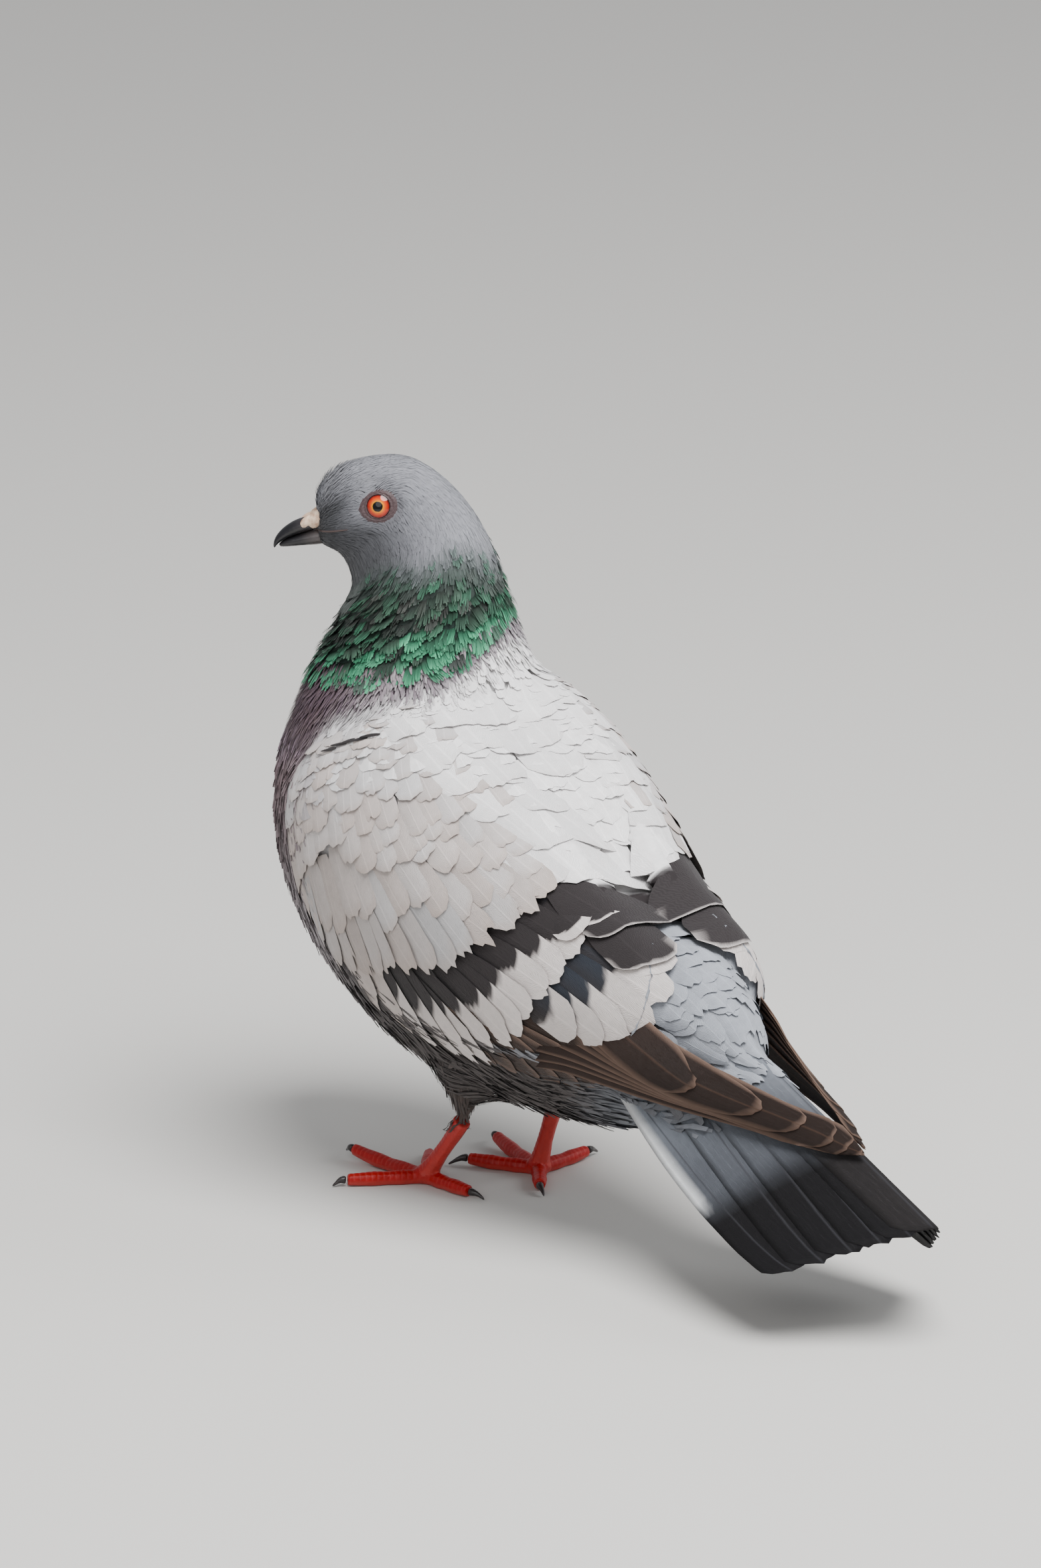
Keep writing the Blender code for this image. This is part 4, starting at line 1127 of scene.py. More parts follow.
def hanging_turn(u, v):
    """Head feathers follow the map, neck feathers hang down. Between them the lie changes."""
    hang = turn_towards(body_map, u, v, DOWNWARD)
    facing_down = step(0.62, -body_map.read(body_map.normal, u, v)[..., 2], 0.3)
    return hang * step(6.4, u, 2.6) * (1 - step(10.2, u, 1.6)) * (1 - facing_down)


HAIR = {"base": 0.8, "end": 0.2, "fray": 0.0}  # the shape of hair-like feathers
tiny = vane_grid(1, 3)
u, v = scattered(body_map, (0.05, 7.6), ((0, 3, 5, 7.6), (0.4, 0.46, 0.56, 0.75)), head_keep, 220000)
count = len(u)
beside_eye, _ = eye_distance(body_map.place(u, v, np.zeros(count)))
length = np.interp(u, (0, 1.5, 4, 7.6), (1.9, 2.5, 3.2, 5.5)) * varied(count, 0.12)
length *= np.interp(beside_eye, (4.4, 8.0), (0.5, 1.0))
on_brow = np.exp(-((u - 1.0) / 0.75) ** 2) * (1 - step(62.0, aside_of(v), 40.0))
length *= 1 + 0.5 * on_brow
head_down = feathers(body_map, u, v, hanging_turn(u, v) + rng.normal(0, 7, count), length,
                     np.interp(u, (0, 4, 7.6), (0.5, 0.7, 1.05)), tiny, -0.3,
                     1.5 * on_brow * rng.uniform(0.3, 1.0, count) + rng.normal(0, 0.035, count),
                     base=0.85, end=0.2, taper=0.7, fray=0.0)
head_colours = (body_tone(u, v) * varied(count, 0.045)[:, None])[:, None, :]
# Each tuft is a little darker at its root: painted shade.
painted(head_down, lambda a, b: head_colours * (0.97 + 0.06 * a[..., None]))
coat_object("head_coat", [head_down], fine_plumage)

# %% [markdown]
# The neck's hackles are broad, blunt and split into strands. Most of the lower ones shine green,
# those above are dull, and a short purple fringe ends the green belt.

# %% Neck coat
strand_grid = vane_grid(1, 5)
u, v = scattered(body_map, (5.0, 9.45), ((6.0, 7.4, 9.3), (2.0, 2.3, 2.6)),
                 lambda u, v: (u > np.where(under_throat(v), 7.2, neck_edges(v)[0] - 0.1))
                 & (u < neck_edges(v)[2] - 0.42), 40000)
start, bright, low, _ = neck_edges(v)
grown = np.clip((u - start) / (low - start), 0.0, 1.0)
width = (2.8 + 3.6 * grown) * varied(len(u), 0.2)
EACH = 11  # strands in a hackle
number, shift, fan, across_all = strands(len(u), EACH, width, spread=0.66, fan=3.0)
long_ones = (5.6 + 2.9 * grown) * varied(len(u), 0.14)
lay = hanging_turn(u, v) + rng.normal(0, 9.0, len(u))
height = 0.35 + rng.normal(0, 0.4, len(u))
total = len(number)
hackles = feathers(body_map, u[number], v[number], lay[number] + fan,
                   long_ones[number] * (1 - 0.2 * across_all ** 2) * varied(total, 0.07),
                   width[number] / EACH * 1.85, strand_grid, -1.5, height[number] + rng.normal(0, 0.03, total),
                   base=0.95, end=0.25, taper=0.6, fray=0.0, tilt=0.03, aside=shift)
shine = step(-0.12, u - bright + rng.normal(0, 0.3, len(u)), 0.6)
shine = shine * np.clip(rng.normal(0.76, 0.34, len(u)), 0.08, 1.2)
shine = np.maximum(shine, np.clip(rng.normal(0.1, 0.18, len(u)), 0, 0.5))
dull = blend(tone(70, 72, 69), tone(42, 50, 46), rng.uniform(0.0, 1.0, len(u)))
dull = dull * varied(len(u), 0.16)[:, None]
dull = blend(body_tone(u, v), dull, step(0.5, u - start, 1.0))
# The roots are darker than the dull tone: partly the hackles' own dark base, partly painted shade between the
# hackles.
dark_root = blend(dull * 0.6, GREEN_SHADE, shine * 0.4)
bright_end = blend(dull * 1.25, EMERALD, np.minimum(shine, 1.0))
bright_end = blend(bright_end, EMERALD * 1.35, np.clip(shine - 0.85, 0, 1) * 2)
bright_end = blend(bright_end, PURPLE, step(-0.46, u - low, 0.12) * rng.uniform(0.0, 0.5, len(u)))
strand_light = varied(total, 0.08)


def hackle_tone(a, b):
    """Dark at the root and bright at the end: the dark is partly the hackle's own base and partly painted
    shade between the hackles. The strands of one hackle differ a little.
    """
    made = blend(dark_root[number][:, None, :], bright_end[number][:, None, :], a ** 1.4)
    # Darker still towards the root: painted shade between the hackles.
    return made * (strand_light[:, None] * (0.62 + 0.44 * a))[..., None]


painted(hackles, hackle_tone)
u, v = scattered(body_map, (8.2, 10.5), 0.82, lambda u, v: (u > neck_edges(v)[2] - 0.5)
                 & (u < neck_edges(v)[3] + 0.3 * (1 - step(90.0, aside_of(v), 40.0))), 90000)
count = len(u)
fringe = feathers(body_map, u, v, hanging_turn(u, v) + rng.normal(0, 9, count), 5.0 * varied(count, 0.2), 0.9,
                  strand_grid, -1.2, 0.1 + rng.normal(0, 0.12, count), base=0.9, end=0.2, taper=0.7, fray=0.0)
_, _, low, mauve_end = neck_edges(v)
mix_in = rng.uniform(0, 1, count)
past = step(-0.28, u - mauve_end + rng.normal(0, 0.08, count), 0.24) * (1 - step(90.0, aside_of(v), 40.0))
fringe_root = blend(PURPLE, BREAST_MAUVE, mix_in * step(60.0, aside_of(v), 60.0))
fringe_root = blend(fringe_root, COVERT_COOL, (1 - step(80.0, aside_of(v), 50.0)) * (0.15 + 0.4 * mix_in))
fringe_root = blend(fringe_root, body_tone(u + 1.2, v), past)
down_fringe = (u - low) / (mauve_end - low) + mix_in * 0.5
fringe_end = blend(fringe_root, body_tone(u + 0.8, v), step(0.75, down_fringe, 0.9))
# Each strand is a little darker at its root: painted shade.
painted(fringe, lambda a, b: blend(fringe_root[:, None, :], fringe_end[:, None, :], a)
        * (0.92 + 0.08 * a[..., None]))
coat_object("neck_coat", [hackles, fringe], glossy_plumage)

# %% [markdown]
# The body's own feathers are soft and rounded: large and pale on the back, smaller and loose on
# the breast, long and dark on the belly, fluffy and pale on the rump. Where a folded wing
# covers the body none are made.


# %% Body coat
def body_tract(u_limits, gap, size, lifts, keep, tries, grid, turn_spread=6.0, shine=0.05, depth=0.2,
               loose=0.12, tone_ahead=0.0, **shape):
    """A tract on the body map. gap is the spacing, size the length and the width, all in mm. depth darkens
    each feather towards its root: painted shade under the feathers over it.
    """
    u, v = scattered(body_map, u_limits, gap, lambda u, v: keep(u, v) & ~under_wing(u, v), tries)
    count = len(u)
    length, width = (at_stations(measure, u) for measure in size)
    tract = feathers(body_map, u, v, rng.normal(0, turn_spread, count), length * varied(count, 0.1),
                     width * varied(count, 0.08), grid, lifts[0], lifts[1] + rng.normal(0, loose, count),
                     tilt=rng.normal(0, 0.1, (count, 1)), **shape)
    base = (body_tone(u + tone_ahead, v) * varied(count, shine)[:, None])[:, None, :]
    # Each feather is darker towards its root by depth: painted shade.
    return painted(tract, lambda a, b: base * (1.0 - depth + depth * 1.2 * np.sqrt(a))[..., None])


def back_keep(u, v):
    """The mantle ends where the feathers of both wings meet over the back."""
    p, _ = flank_place(body_map.place(u, v, np.zeros(len(u))))
    return (aside_of(v) < 92) & (p < 51) & (u > neck_edges(v)[3] - 0.2)


def rump_keep(u, v):
    """The rump shows in a V between the wings."""
    place = body_map.place(u, v, np.zeros(len(u)))
    p, _ = flank_place(place)
    return (aside_of(v) < 84) & (p > 74 + 0.5 * np.minimum(np.abs(place[:, 0] - STANCE.x) / MM, 16))


broad, hair = vane_grid(8, 6), vane_grid(1, 4)
BACK = (9.3, 10.2, 11.4, 15.0)
mantle = body_tract((8.9, 15.0), (BACK, (1.6, 2.6, 4.4, 5.6)),
                    ((BACK, (6.0, 9.0, 13.0, 18.0)), (BACK, (2.6, 5.5, 9.5, 13.0))),
                    (-1.0, 0.28), back_keep, 16000, broad, shine=0.025, depth=0.08, fray=0.02, tone_ahead=0.6)
breast = body_tract((9.9, 13.4), ((9.8, 11, 13), (1.0, 1.15, 1.3)),
                    (((9.8, 13), (7.0, 10.0)), ((9.8, 13), (0.95, 1.25))),
                    (-1.1, 0.15), lambda u, v: aside_of(v) >= 88, 90000, hair, shine=0.09, depth=0.14,
                    loose=0.25, turn_spread=9.0, taper=0.7, **HAIR)
belly = body_tract((12.9, 17.6), 1.35, (12.5, 1.25), (-1.1, 0.4), lambda u, v: aside_of(v) >= 80, 90000, hair,
                   shine=0.1, depth=0.2, loose=0.45, turn_spread=10.0, taper=0.75, **HAIR)
rump = body_tract((15.0, 19.0), ((14.6, 19), (4.4, 4.8)), (((14.6, 17.5, 19), (13.0, 17.0, 21.0)), 12.0),
                  (-1.1, 0.8), rump_keep, 12000, broad, shine=0.04, depth=0.16, fray=0.04)
undertail = body_tract((17.0, 19.4), 1.8, (((17, 19.4), (13.0, 17.0)), 2.2),
                       (-1.6, 0.6), lambda u, v: aside_of(v) >= 100, 40000, hair, shine=0.1, depth=0.25,
                       loose=0.6, turn_spread=8.0, taper=0.6, base=0.8, end=0.3, fray=0.0)
coat_object("back_coat", [mantle, rump], soft_plumage)
coat_object("breast_coat", [breast], fine_plumage)
coat_object("belly_coat", [belly, undertail], fine_plumage)

# %% [markdown]
# The thighs have short feathers that end in a neat cuff on the shank. A thigh leaves the belly at
# an angle that the body's map can't follow, so each has a small map round its own line.


# %% Thigh coats
THIGH_TONE = tone(82, 72, 68)
skin_tree = tree_of(skin)


def thigh_tract(side, sign):
    """Short feathers on a map of their own, from the belly down to the top of the shank."""
    x, y, z = ANKLES[side]
    line = [(spot(x + 8 * sign, y + 4, z + 36), 0, 75, 22), (spot(x + 5.5 * sign, y + 4, z + 24), 0, 75, 22),
            (spot(x + 3 * sign, y + 2.5, z + 12), 0, 75, 20), (spot(x + 1 * sign, y + 0.5, z + 3), 0, 75, 14),
            (spot(x, y - 2.2, z - 3), 0, 75, 12), (spot(x, y - 3.6, z - 6.6), 0, 75, 10)]
    leg_map = mapped_round(line, skin_tree, 41, 49, 2)
    u, v = scattered(leg_map, (0.3, 4.6), ((0, 5), (1.7, 1.0)), lambda u, v: u > 0, 16000)
    count = len(u)
    tract = feathers(leg_map, u, v, rng.normal(0, 10, count),
                     np.interp(u, (0, 5), (11.0, 4.6)) * varied(count, 0.15), np.interp(u, (0, 5), (1.5, 0.9)),
                     hair, -0.3, 0.9 + rng.normal(0, 0.3, count), taper=0.75, **HAIR)
    base = blend(FLANK_DARK, THIGH_TONE, np.clip(u / 4.0 + rng.normal(0, 0.2, count), 0, 1))
    base = (base * varied(count, 0.1)[:, None])[:, None, :]
    # Darker towards the root: painted shade.
    return painted(tract, lambda a, b: base * (0.75 + 0.32 * a[..., None]))


coat_object("thigh_coat", [thigh_tract(*side) for side in SIDES], fine_plumage)

# %% [markdown]
# The wing's coverts lie in rows that fan out from the shoulder. What shows of a row is its tips,
# so each row is given as the line its tips follow, front to back, on the wing's map. The
# feathers' lie turns along the row, from nearly straight down at the front to backwards behind.


# %% Rows of coverts
def lie(p, q):
    """Which way a wing feather points, in degrees from straight back."""
    return np.clip(-62.0 + 0.75 * p + 0.1 * (q - 60.0), -82.0, -14.0)


def along_line(points, spacing):
    """Places at even steps along a bent line, and the share of the way that each has come."""
    points = np.asarray(points, float)
    run = np.concatenate([[0.0], np.cumsum(np.linalg.norm(np.diff(points, axis=0), axis=1))])
    count = max(2, int(round(run[-1] / spacing)) + 1)
    at = np.linspace(0.0, run[-1], count)
    return np.column_stack([np.interp(at, run, points[:, 0]), np.interp(at, run, points[:, 1])]), at / run[-1]


# A wing's feathers take root below this line on its map: places back, and how far up, in mm
NECK_LINE = ((-60, -37, -21, -10, -4, 0, 3, 12, 40), (90, 95, 102, 108, 113, 119, 127, 140, 150))
RIDGE = {"left": -4.0, "right": 3.0}  # how far from the middle of the back tips stay, in mm


def spaced(share, values):
    """What values given at even steps along a row come to at these shares of it."""
    return np.interp(share, np.linspace(0, 1, len(values)), values)


def wing_row(side, tips, spacing, length, width, lifts, colour, grid, jitter=0.09, turn=None, **shape):
    """One row of wing feathers. colour(share, a, b) gives the tone of each corner."""
    ends, share = along_line(tips, spacing)
    count = len(ends)
    ends = ends + rng.normal(0.0, jitter * spacing, ends.shape)
    length = length * varied(count, 0.03)
    angle = lie(ends[:, 0], ends[:, 1]) if turn is None else spaced(share, turn)
    angle = angle + rng.normal(0.0, 2.5, count)
    reach = length[:, None] * np.stack([np.cos(np.radians(angle)), np.sin(np.radians(angle))], 1)
    roots = ends - reach
    for share_left in np.linspace(0.95, 0.35, 13):  # shorter where the root would lie on the neck
        past = roots[:, 1] > np.interp(roots[:, 0], *NECK_LINE)
        roots = np.where(past[:, None], ends - share_left * reach, roots)
    length = np.hypot(*(ends - roots).T)
    tip_x = (flank_maps[side].place(*ends.T, np.zeros(count))[:, 0] - STANCE.x) / MM
    kept = tip_x * dict(SIDES)[side] > RIDGE[side]
    roots, ends, angle, length, share = (values[kept] for values in (roots, ends, angle, length, share))
    count = len(ends)
    tract = feathers(flank_maps[side], *roots.T, angle, length, width * varied(count, 0.05), grid, lifts[0],
                     lifts[1] + rng.normal(0.0, 0.1, count), ends=ends.T, **shape)
    # Feathers low and far forward on the wing are darkened by up to an eighth: painted shade.
    low_front_shade = 1.0 - 0.12 * (1 - step(62.0, ends[:, 1], 30.0)) * (1 - step(56.0, ends[:, 0], 20.0))
    return painted(tract, lambda a, b: colour(share, a, b) * low_front_shade[:, None, None])


def covert_colour(cool, dark=1.0):
    """Cream or cool grey coverts with a fine brownish rim. Each is darker towards its root, and dark dims a
    whole row: both painted shade.
    """
    def colour(share, a, b):
        count = len(share)
        # dark dims the row and each feather is darker towards its root: painted shade.
        base = blend(COVERT, COVERT_COOL, np.clip(rng.normal(cool, 0.35, count), 0, 1)) * dark
        base = base[:, None, :] * (varied(count, 0.035)[:, None] * (0.86 + 0.16 * a))[..., None]
        return blend(base, COVERT_EDGE, step(0.93, a, 0.1) * 0.45)
    return colour


def barred(pale_at, length, slope=0.0):
    """A feather that is dark at its root and pale for the last few mm: pale_at along the row."""
    def colour(share, a, b):
        count = len(share)
        edge = (1.0 - spaced(share, pale_at)[:, None] / length + rng.normal(0, 0.018, (count, 1))
                + 0.03 * np.cos(b * 3.0) + slope * b)
        light = varied(count, 0.04)[:, None, None]
        # The pale end is a little darker towards the root: painted shade.
        return blend(BAR, TIP_WHITE * (0.9 + 0.1 * a[..., None]), step(edge, a, 0.03)) * light
    return colour

# %% [markdown]
# The rows' names are those of the real wing: greater, median and lesser coverts, scapulars at the
# shoulder, secondaries and tertials behind them. Only the lines of their tips are given, and the
# number of feathers follows from the spacing.
# %% Tips of the rows
# Each is a line of places on the wing's map: how far back and how far up, in mm
GREATER = [(-16, 42), (-8, 39), (0, 38), (8, 39), (15, 41), (23, 44.3), (30, 46), (36.5, 48.2), (45, 54),
           (52, 61.5), (57, 67), (61, 73), (61.5, 80)]
MEDIAN_LOW = [(-25, 47), (-19, 46), (-11, 47), (-3, 48), (4, 52), (11, 55), (17, 53), (24, 58.5), (32, 64.5),
              (39, 63), (46, 64), (51, 73), (56, 83)]
MEDIAN_HIGH = [(-27, 55), (-20, 59), (-12, 66), (-3, 69), (6, 67), (14, 67), (20, 70), (26, 76), (34, 76.5),
               (41, 78), (47, 79), (51, 88)]
LESSER = [
    [(-27, 64), (-18, 69), (-8, 74), (3, 75), (12, 73), (20, 76), (27, 81), (36, 84), (44, 87), (49, 93)],
    [(-27, 71), (-18, 76), (-8, 80), (3, 81.5), (13, 80), (22, 82), (29, 86), (34, 92), (41, 95)],
    [(-27, 78), (-18, 83), (-8, 87), (3, 88.5), (13, 87), (21, 89.5), (27, 94), (32, 99)],
    [(-26, 84), (-18, 89), (-8, 93), (3, 95), (12, 94.5), (19, 98), (24, 103)],
    [(-23, 90.5), (-15, 95.5), (-6, 99.5), (3, 102), (10, 103.5), (15, 108)],
    [(-15, 98.5), (-6, 104.5), (2, 108.5), (8, 112)],
    [(-7, 108.5), (0, 113)],
]
SCAPULARS = [
    [(60.5, 80), (63, 84), (67, 86.8), (67.5, 90), (66.3, 94)],
    [(52, 88), (55, 93), (57, 98), (55, 103)],
    [(42, 94), (46, 100), (47, 106), (45, 112)],
    [(31, 98), (35, 105), (37, 111), (36, 118)],
    [(19, 102), (24, 108), (27, 114), (27, 121)],
    [(7, 106), (13, 112), (16, 119)],
]
SECONDARIES = [(36, 30.5), (47, 31), (56, 31.8), (64, 32.6), (71, 33.5), (77, 36), (81.5, 41)]
WING_BAR = [(6, 32), (13, 29.6), (23, 29), (31, 29.6), (41, 30.6), (50, 33.8), (60.7, 40.8), (68, 47.5),
            (73.6, 56), (77.0, 66)]
TERTIALS = [(80, 46.3), (88, 45.8), (96, 49), (100.2, 55.5), (100, 62.5), (96.5, 69.5)]
INNER_TERTIALS = [(95, 70.0), (84, 77.0)]
PARTING = [(-18.5, 93.6), (-14.5, 96.4), (-10.5, 98.9), (-6.5, 101)]
UPPERMOST = [(75.5, 72.0), (78.5, 78.0)]
print("rows of coverts on a wing:", 8 + len(LESSER) + len(SCAPULARS))

# %% [markdown]
# The wing's dark bar isn't painted across the wing. It comes about as in life: each feather of
# one row is dark with a pale end, and the row above hides its root.


# %% Colours of the dark rows and the shoulder
def brown_colour(share, a, b):
    """Brown secondaries with paler edges."""
    rim = step(0.8, np.abs(b), 0.2) * 0.7 + step(0.96, a, 0.05) * 0.5
    return blend(SECONDARY, FLIGHT_EDGE, rim) * varied(len(share), 0.07)[:, None, None]


def bar_colour(share, a, b):
    """The dark wing bar above white ends. Its first feathers are plain."""
    made = barred((9, 9.5, 10, 11.5, 13, 13, 8), 30.0, slope=0.09)(share, a, b)
    # Its first feathers take the covert tone dimmed as painted shade, like the greater coverts.
    return blend(made, COVERT * 0.92, (1 - step(0.1, share, 0.05))[:, None] * np.ones_like(a))


def tertial_colour(share, a, b):
    """Tertials: dark, bluish towards one edge, with broad white ends."""
    count = len(share)
    tip = spaced(share, (8, 10, 12, 13, 12.5, 10))[:, None]
    edge = 1.0 - tip / 38.0 + rng.normal(0, 0.012, (count, 1)) + 0.02 * np.cos(b * 4.0)
    dark = blend(BAR, BAR_BLUE, np.clip(b * 0.8 + 0.4, 0, 1))
    # The white end is a little darker towards the root: painted shade.
    pale = TIP_WHITE * (0.82 + 0.08 * a[..., None])
    return blend(dark, pale, step(edge, a, 0.025)) * varied(count, 0.04)[:, None, None]


def inner_colour(share, a, b):
    """Dark inner tertials with a thin white rim at the tip."""
    rim = np.maximum(step(0.975, a, 0.015), step(0.95, np.abs(b), 0.05) * step(0.8, a, 0.1) * 0.6)
    return blend(BAR * varied(len(share), 0.05)[:, None, None], TIP_WHITE, rim * 0.75)


def scapular_colour(share, a, b):
    """White shoulder feathers with a hint of grey and of a rim."""
    count = len(share)
    base = blend(COVERT_COOL, MANTLE, rng.uniform(0.5, 1.0, count))
    # A little darker towards the root: painted shade.
    light = varied(count, 0.02)[:, None] * (0.95 + 0.05 * a)
    return blend(base[:, None, :] * light[..., None], COVERT_EDGE, step(0.96, a, 0.05) * 0.12)

# %% [markdown]
# Rows are laid from the lowest layer up, each a little higher at its tips than the one before.
# The two wings meet over the back, where the left one's feathers lie on top.
# %% Both wings' rows
covert, barred_vane = vane_grid(9, 6), vane_grid(10, 24)
STIFF = {"camber": 0.03, "tilt": 0.3}  # the shape of flat feathers, each with an edge over the next


def wing_coat(side):
    """All rows of one wing, from the lowest layer up. The left wing's inner feathers lie on top."""
    above = 0.5 if side == "left" else 0.0
    rows = [
        wing_row(side, SECONDARIES, 6.6, 42.0, 12.0, (-1.4, -0.1), brown_colour, barred_vane,
                 turn=(-13, -10, -8), fray=0.004, jitter=0.03, **STIFF),
        wing_row(side, INNER_TERTIALS, 13.0, 25.0, 15.5, (-0.8, 1.6 + above * 0.4), inner_colour, barred_vane,
                 turn=(-19, -13), fray=0.006, jitter=0.03, **STIFF),
        wing_row(side, TERTIALS, 7.6, 38.0, 13.5, (-2.0, 0.55), tertial_colour, barred_vane,
                 turn=(-15, -17, -16, -14), fray=0.008, jitter=0.03, **STIFF),
        wing_row(side, WING_BAR, 7.3, 30.0, 10.8, (-1.8, 0.45), bar_colour, barred_vane, fray=0.014, **STIFF),
        wing_row(side, UPPERMOST, 6.5, 15.0, 12.0, (-1.6, 1.1 + above), barred((4.5, 1), 17.0), barred_vane,
                 turn=(-16, -16), fray=0.01, jitter=0.02),
        # The greater coverts and the lower median ones are dimmed by dark: painted shade low on the wing.
        wing_row(side, GREATER, 7.4, 25.0, 10.8, (-1.2, 0.7), covert_colour(0.25, 0.86), covert, fray=0.034,
                 camber=0.03, tilt=0.25, taper=0.1),
        wing_row(side, MEDIAN_LOW, 7.6, 19.0, 11.5, (-1.1, 0.55), covert_colour(0.2, 0.93), covert, fray=0.016,
                 tilt=0.22),
        wing_row(side, MEDIAN_HIGH, 7.2, 17.0, 11.0, (-1.0, 0.5), covert_colour(0.3), covert, fray=0.014,
                 tilt=0.2),
    ]
    for level, tips in enumerate(LESSER):
        rows.append(wing_row(side, tips, 6.2, 13.0, 9.2, (-0.8, 0.32), covert_colour(0.35 + 0.06 * level),
                             covert, jitter=0.2, fray=0.022, tilt=0.13))
    for level, tips in enumerate(SCAPULARS):
        spacing, jitter = (5.8, 0.26) if level else (4.4, 0.1)
        rows.append(wing_row(side, tips, spacing, 20.0, 12.5, (-0.5, 0.36 + above * 0.3), scapular_colour,
                             covert, jitter=jitter, turn=(-20, -24, -28), fray=0.02, tilt=0.1))
    if side == "left":  # a dark parting where the shoulder's edge lifts off the breast
        rows.append(wing_row(side, PARTING, 3.2, 5.5, 1.3, (0.3, 0.9),
                             lambda share, a, b: BAR * np.ones(a.shape + (1,)), covert,
                             turn=(-150, -150), fray=0.0, tilt=0.0, taper=0.6))
    return coat_object(side + "_coverts", rows, covert_plumage)


for side, _ in SIDES:
    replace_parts(wing_coat(side), side + "_wing")

# %% [markdown]
# The primaries are long stiff blades, closed like a fan along the tail. They and the tail
# feathers follow maps of their own, drawn between an upper and a lower edge line, and each blade
# has a start and a tip on that map.


# %% Blades on a map
def curve_through(points, count):
    """Even shares along a smooth line through these places, in mm."""
    points = np.asarray(points, float)
    padded = np.vstack([2 * points[0] - points[1], points, 2 * points[-1] - points[-2]])
    at = np.linspace(0, len(points) - 1, count)
    i = np.minimum(at.astype(int), len(points) - 2)
    t = (at - i)[:, None]
    p0, p1, p2, p3 = padded[i], padded[i + 1], padded[i + 2], padded[i + 3]
    return 0.5 * (2 * p1 + (p2 - p0) * t + (2 * p0 - 5 * p1 + 4 * p2 - p3) * t ** 2
                  + (3 * p1 - p0 - 3 * p2 + p3) * t ** 3)


def blades(surface, starts, ends, width, lifts, grid, base=0.6, end=1.0, point=0.0, camber=0.03, fray=0.004):
    """Long feathers from starts to ends, both (u, v) on the map; widths and lifts in mm."""
    along, across, _ = grid
    starts, ends, lifts = (np.asarray(values, float) for values in (starts, ends, lifts))
    width = each(width, len(starts))
    a, b = along[None, :], across[None, :]
    half = width / 2
    spread = base + (1 - base) * np.sin(np.minimum(a / 0.5, 1.0) * math.pi / 2)
    spread = spread * (1 - point * np.clip((a - 0.6) / 0.4, 0, 1) ** 2)
    u = each(starts[:, 0]) + each(ends[:, 0] - starts[:, 0]) * a
    v = each(starts[:, 1]) + each(ends[:, 1] - starts[:, 1]) * a
    near_u, near_v = (stride / MM for stride in surface.strides(u, v))
    arc = half * end * (1 - np.sqrt(np.maximum(1 - (0.985 * b) ** 2, 0.0))) * a ** 6
    ragged = rng.normal(0.0, 1.0, u.shape) * fray * 100.0 * a ** 12
    u = u - (arc + ragged) / near_u
    v = v + half * (spread * b) / np.maximum(near_v, 2.0)
    z = each(lifts[:, 0]) * (1 - a) + each(lifts[:, 1]) * a - camber * width * b ** 2 * np.minimum(a * 2, 1)
    return as_tract(surface, surface.place(u, v, z * MM), grid, ((starts + ends) / 2).T)


PRIMARIES_TOP = [(17, 84, 89), (16, 101, 82), (12.5, 116, 76), (8.5, 127, 70.5), (2.6, 147.6, 60.6),
                 (1.4, 158, 57.6), (1.2, 165.5, 53.4), (1.6, 170.5, 50.6)]
PRIMARIES_LOW = [(36, 62, 57), (33, 74, 57), (28.5, 91, 54.5), (23, 108.5, 52), (16, 134.5, 51),
                 (10, 154, 50), (6.5, 163, 49.4), (2.4, 170.6, 50.2)]


# %% Primaries
def bundle_map(sign, reach):
    """Maps the outer face of one wing's closed primaries. reach shortens it."""
    top, low = curve_through(PRIMARIES_TOP, 60), curve_through(PRIMARIES_LOW, 60)
    share = np.linspace(0, 1, 25)[None, :, None]
    flat = top[:, None] * (1 - share) + low[:, None] * share
    width = np.linalg.norm(top - low, axis=1)
    off = np.cross(top - low, (0.0, -1.0, 0.0))
    off /= np.linalg.norm(off, axis=1, keepdims=True)
    swell = np.sin(np.pi * share) * 3.0 * np.minimum(1.0, width / 20.0)[:, None, None]
    flat = flat + off[:, None] * swell
    flat[..., 1] = flat[..., 1].min() + (flat[..., 1] - flat[..., 1].min()) * reach
    flat[..., 0] *= sign
    return SurfaceMap(spots(flat), (0.0, 1.0), (0.0, 1.0), False, off[:, None] * np.array((sign, 1, 1)))


blade_grid = vane_grid(8, 26)


def flight_colour(a, b):
    """Dark brown, darker towards the tip, with a pale edge."""
    rim = np.maximum(step(0.9, np.abs(b), 0.08) * 0.85, step(0.985, a, 0.015) * 0.8)
    return blend(blend(FLIGHT, FLIGHT * 0.7, step(0.6, a, 0.5)), FLIGHT_EDGE, rim)


for side, sign, reach in (("left", 1.0, 1.0), ("right", -1.0, 0.965)):
    starts = [(-0.02, 0.3), (-0.02, 0.42), (-0.02, 0.54), (-0.02, 0.66), (0.0, 0.78), (0.02, 0.87),
              (0.04, 0.95)]
    ends = [(0.44, 0.62), (0.56, 0.6), (0.67, 0.58), (0.8, 0.56), (0.9, 0.52), (0.99, 0.5), (1.0, 0.6)]
    lifts = [(0.6 - 0.25 * k, 1.35 - 0.3 * k) for k in range(7)]
    tract = blades(bundle_map(sign, reach), starts, ends, (17, 17, 16, 15, 13, 11, 9), lifts, blade_grid,
                   point=0.45, end=0.9)
    made = coat_object(side + "_flight_feathers", [painted(tract, flight_colour)], flight_plumage,
                       0.3 * MM)
    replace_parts(made, side + "_primaries")

# %% [markdown]
# The tail has twelve feathers, folded to a low roof. The middle pair lies on top and each pair
# outwards lies under the one before. All end in a dark band, and the outermost have a white
# outer web.

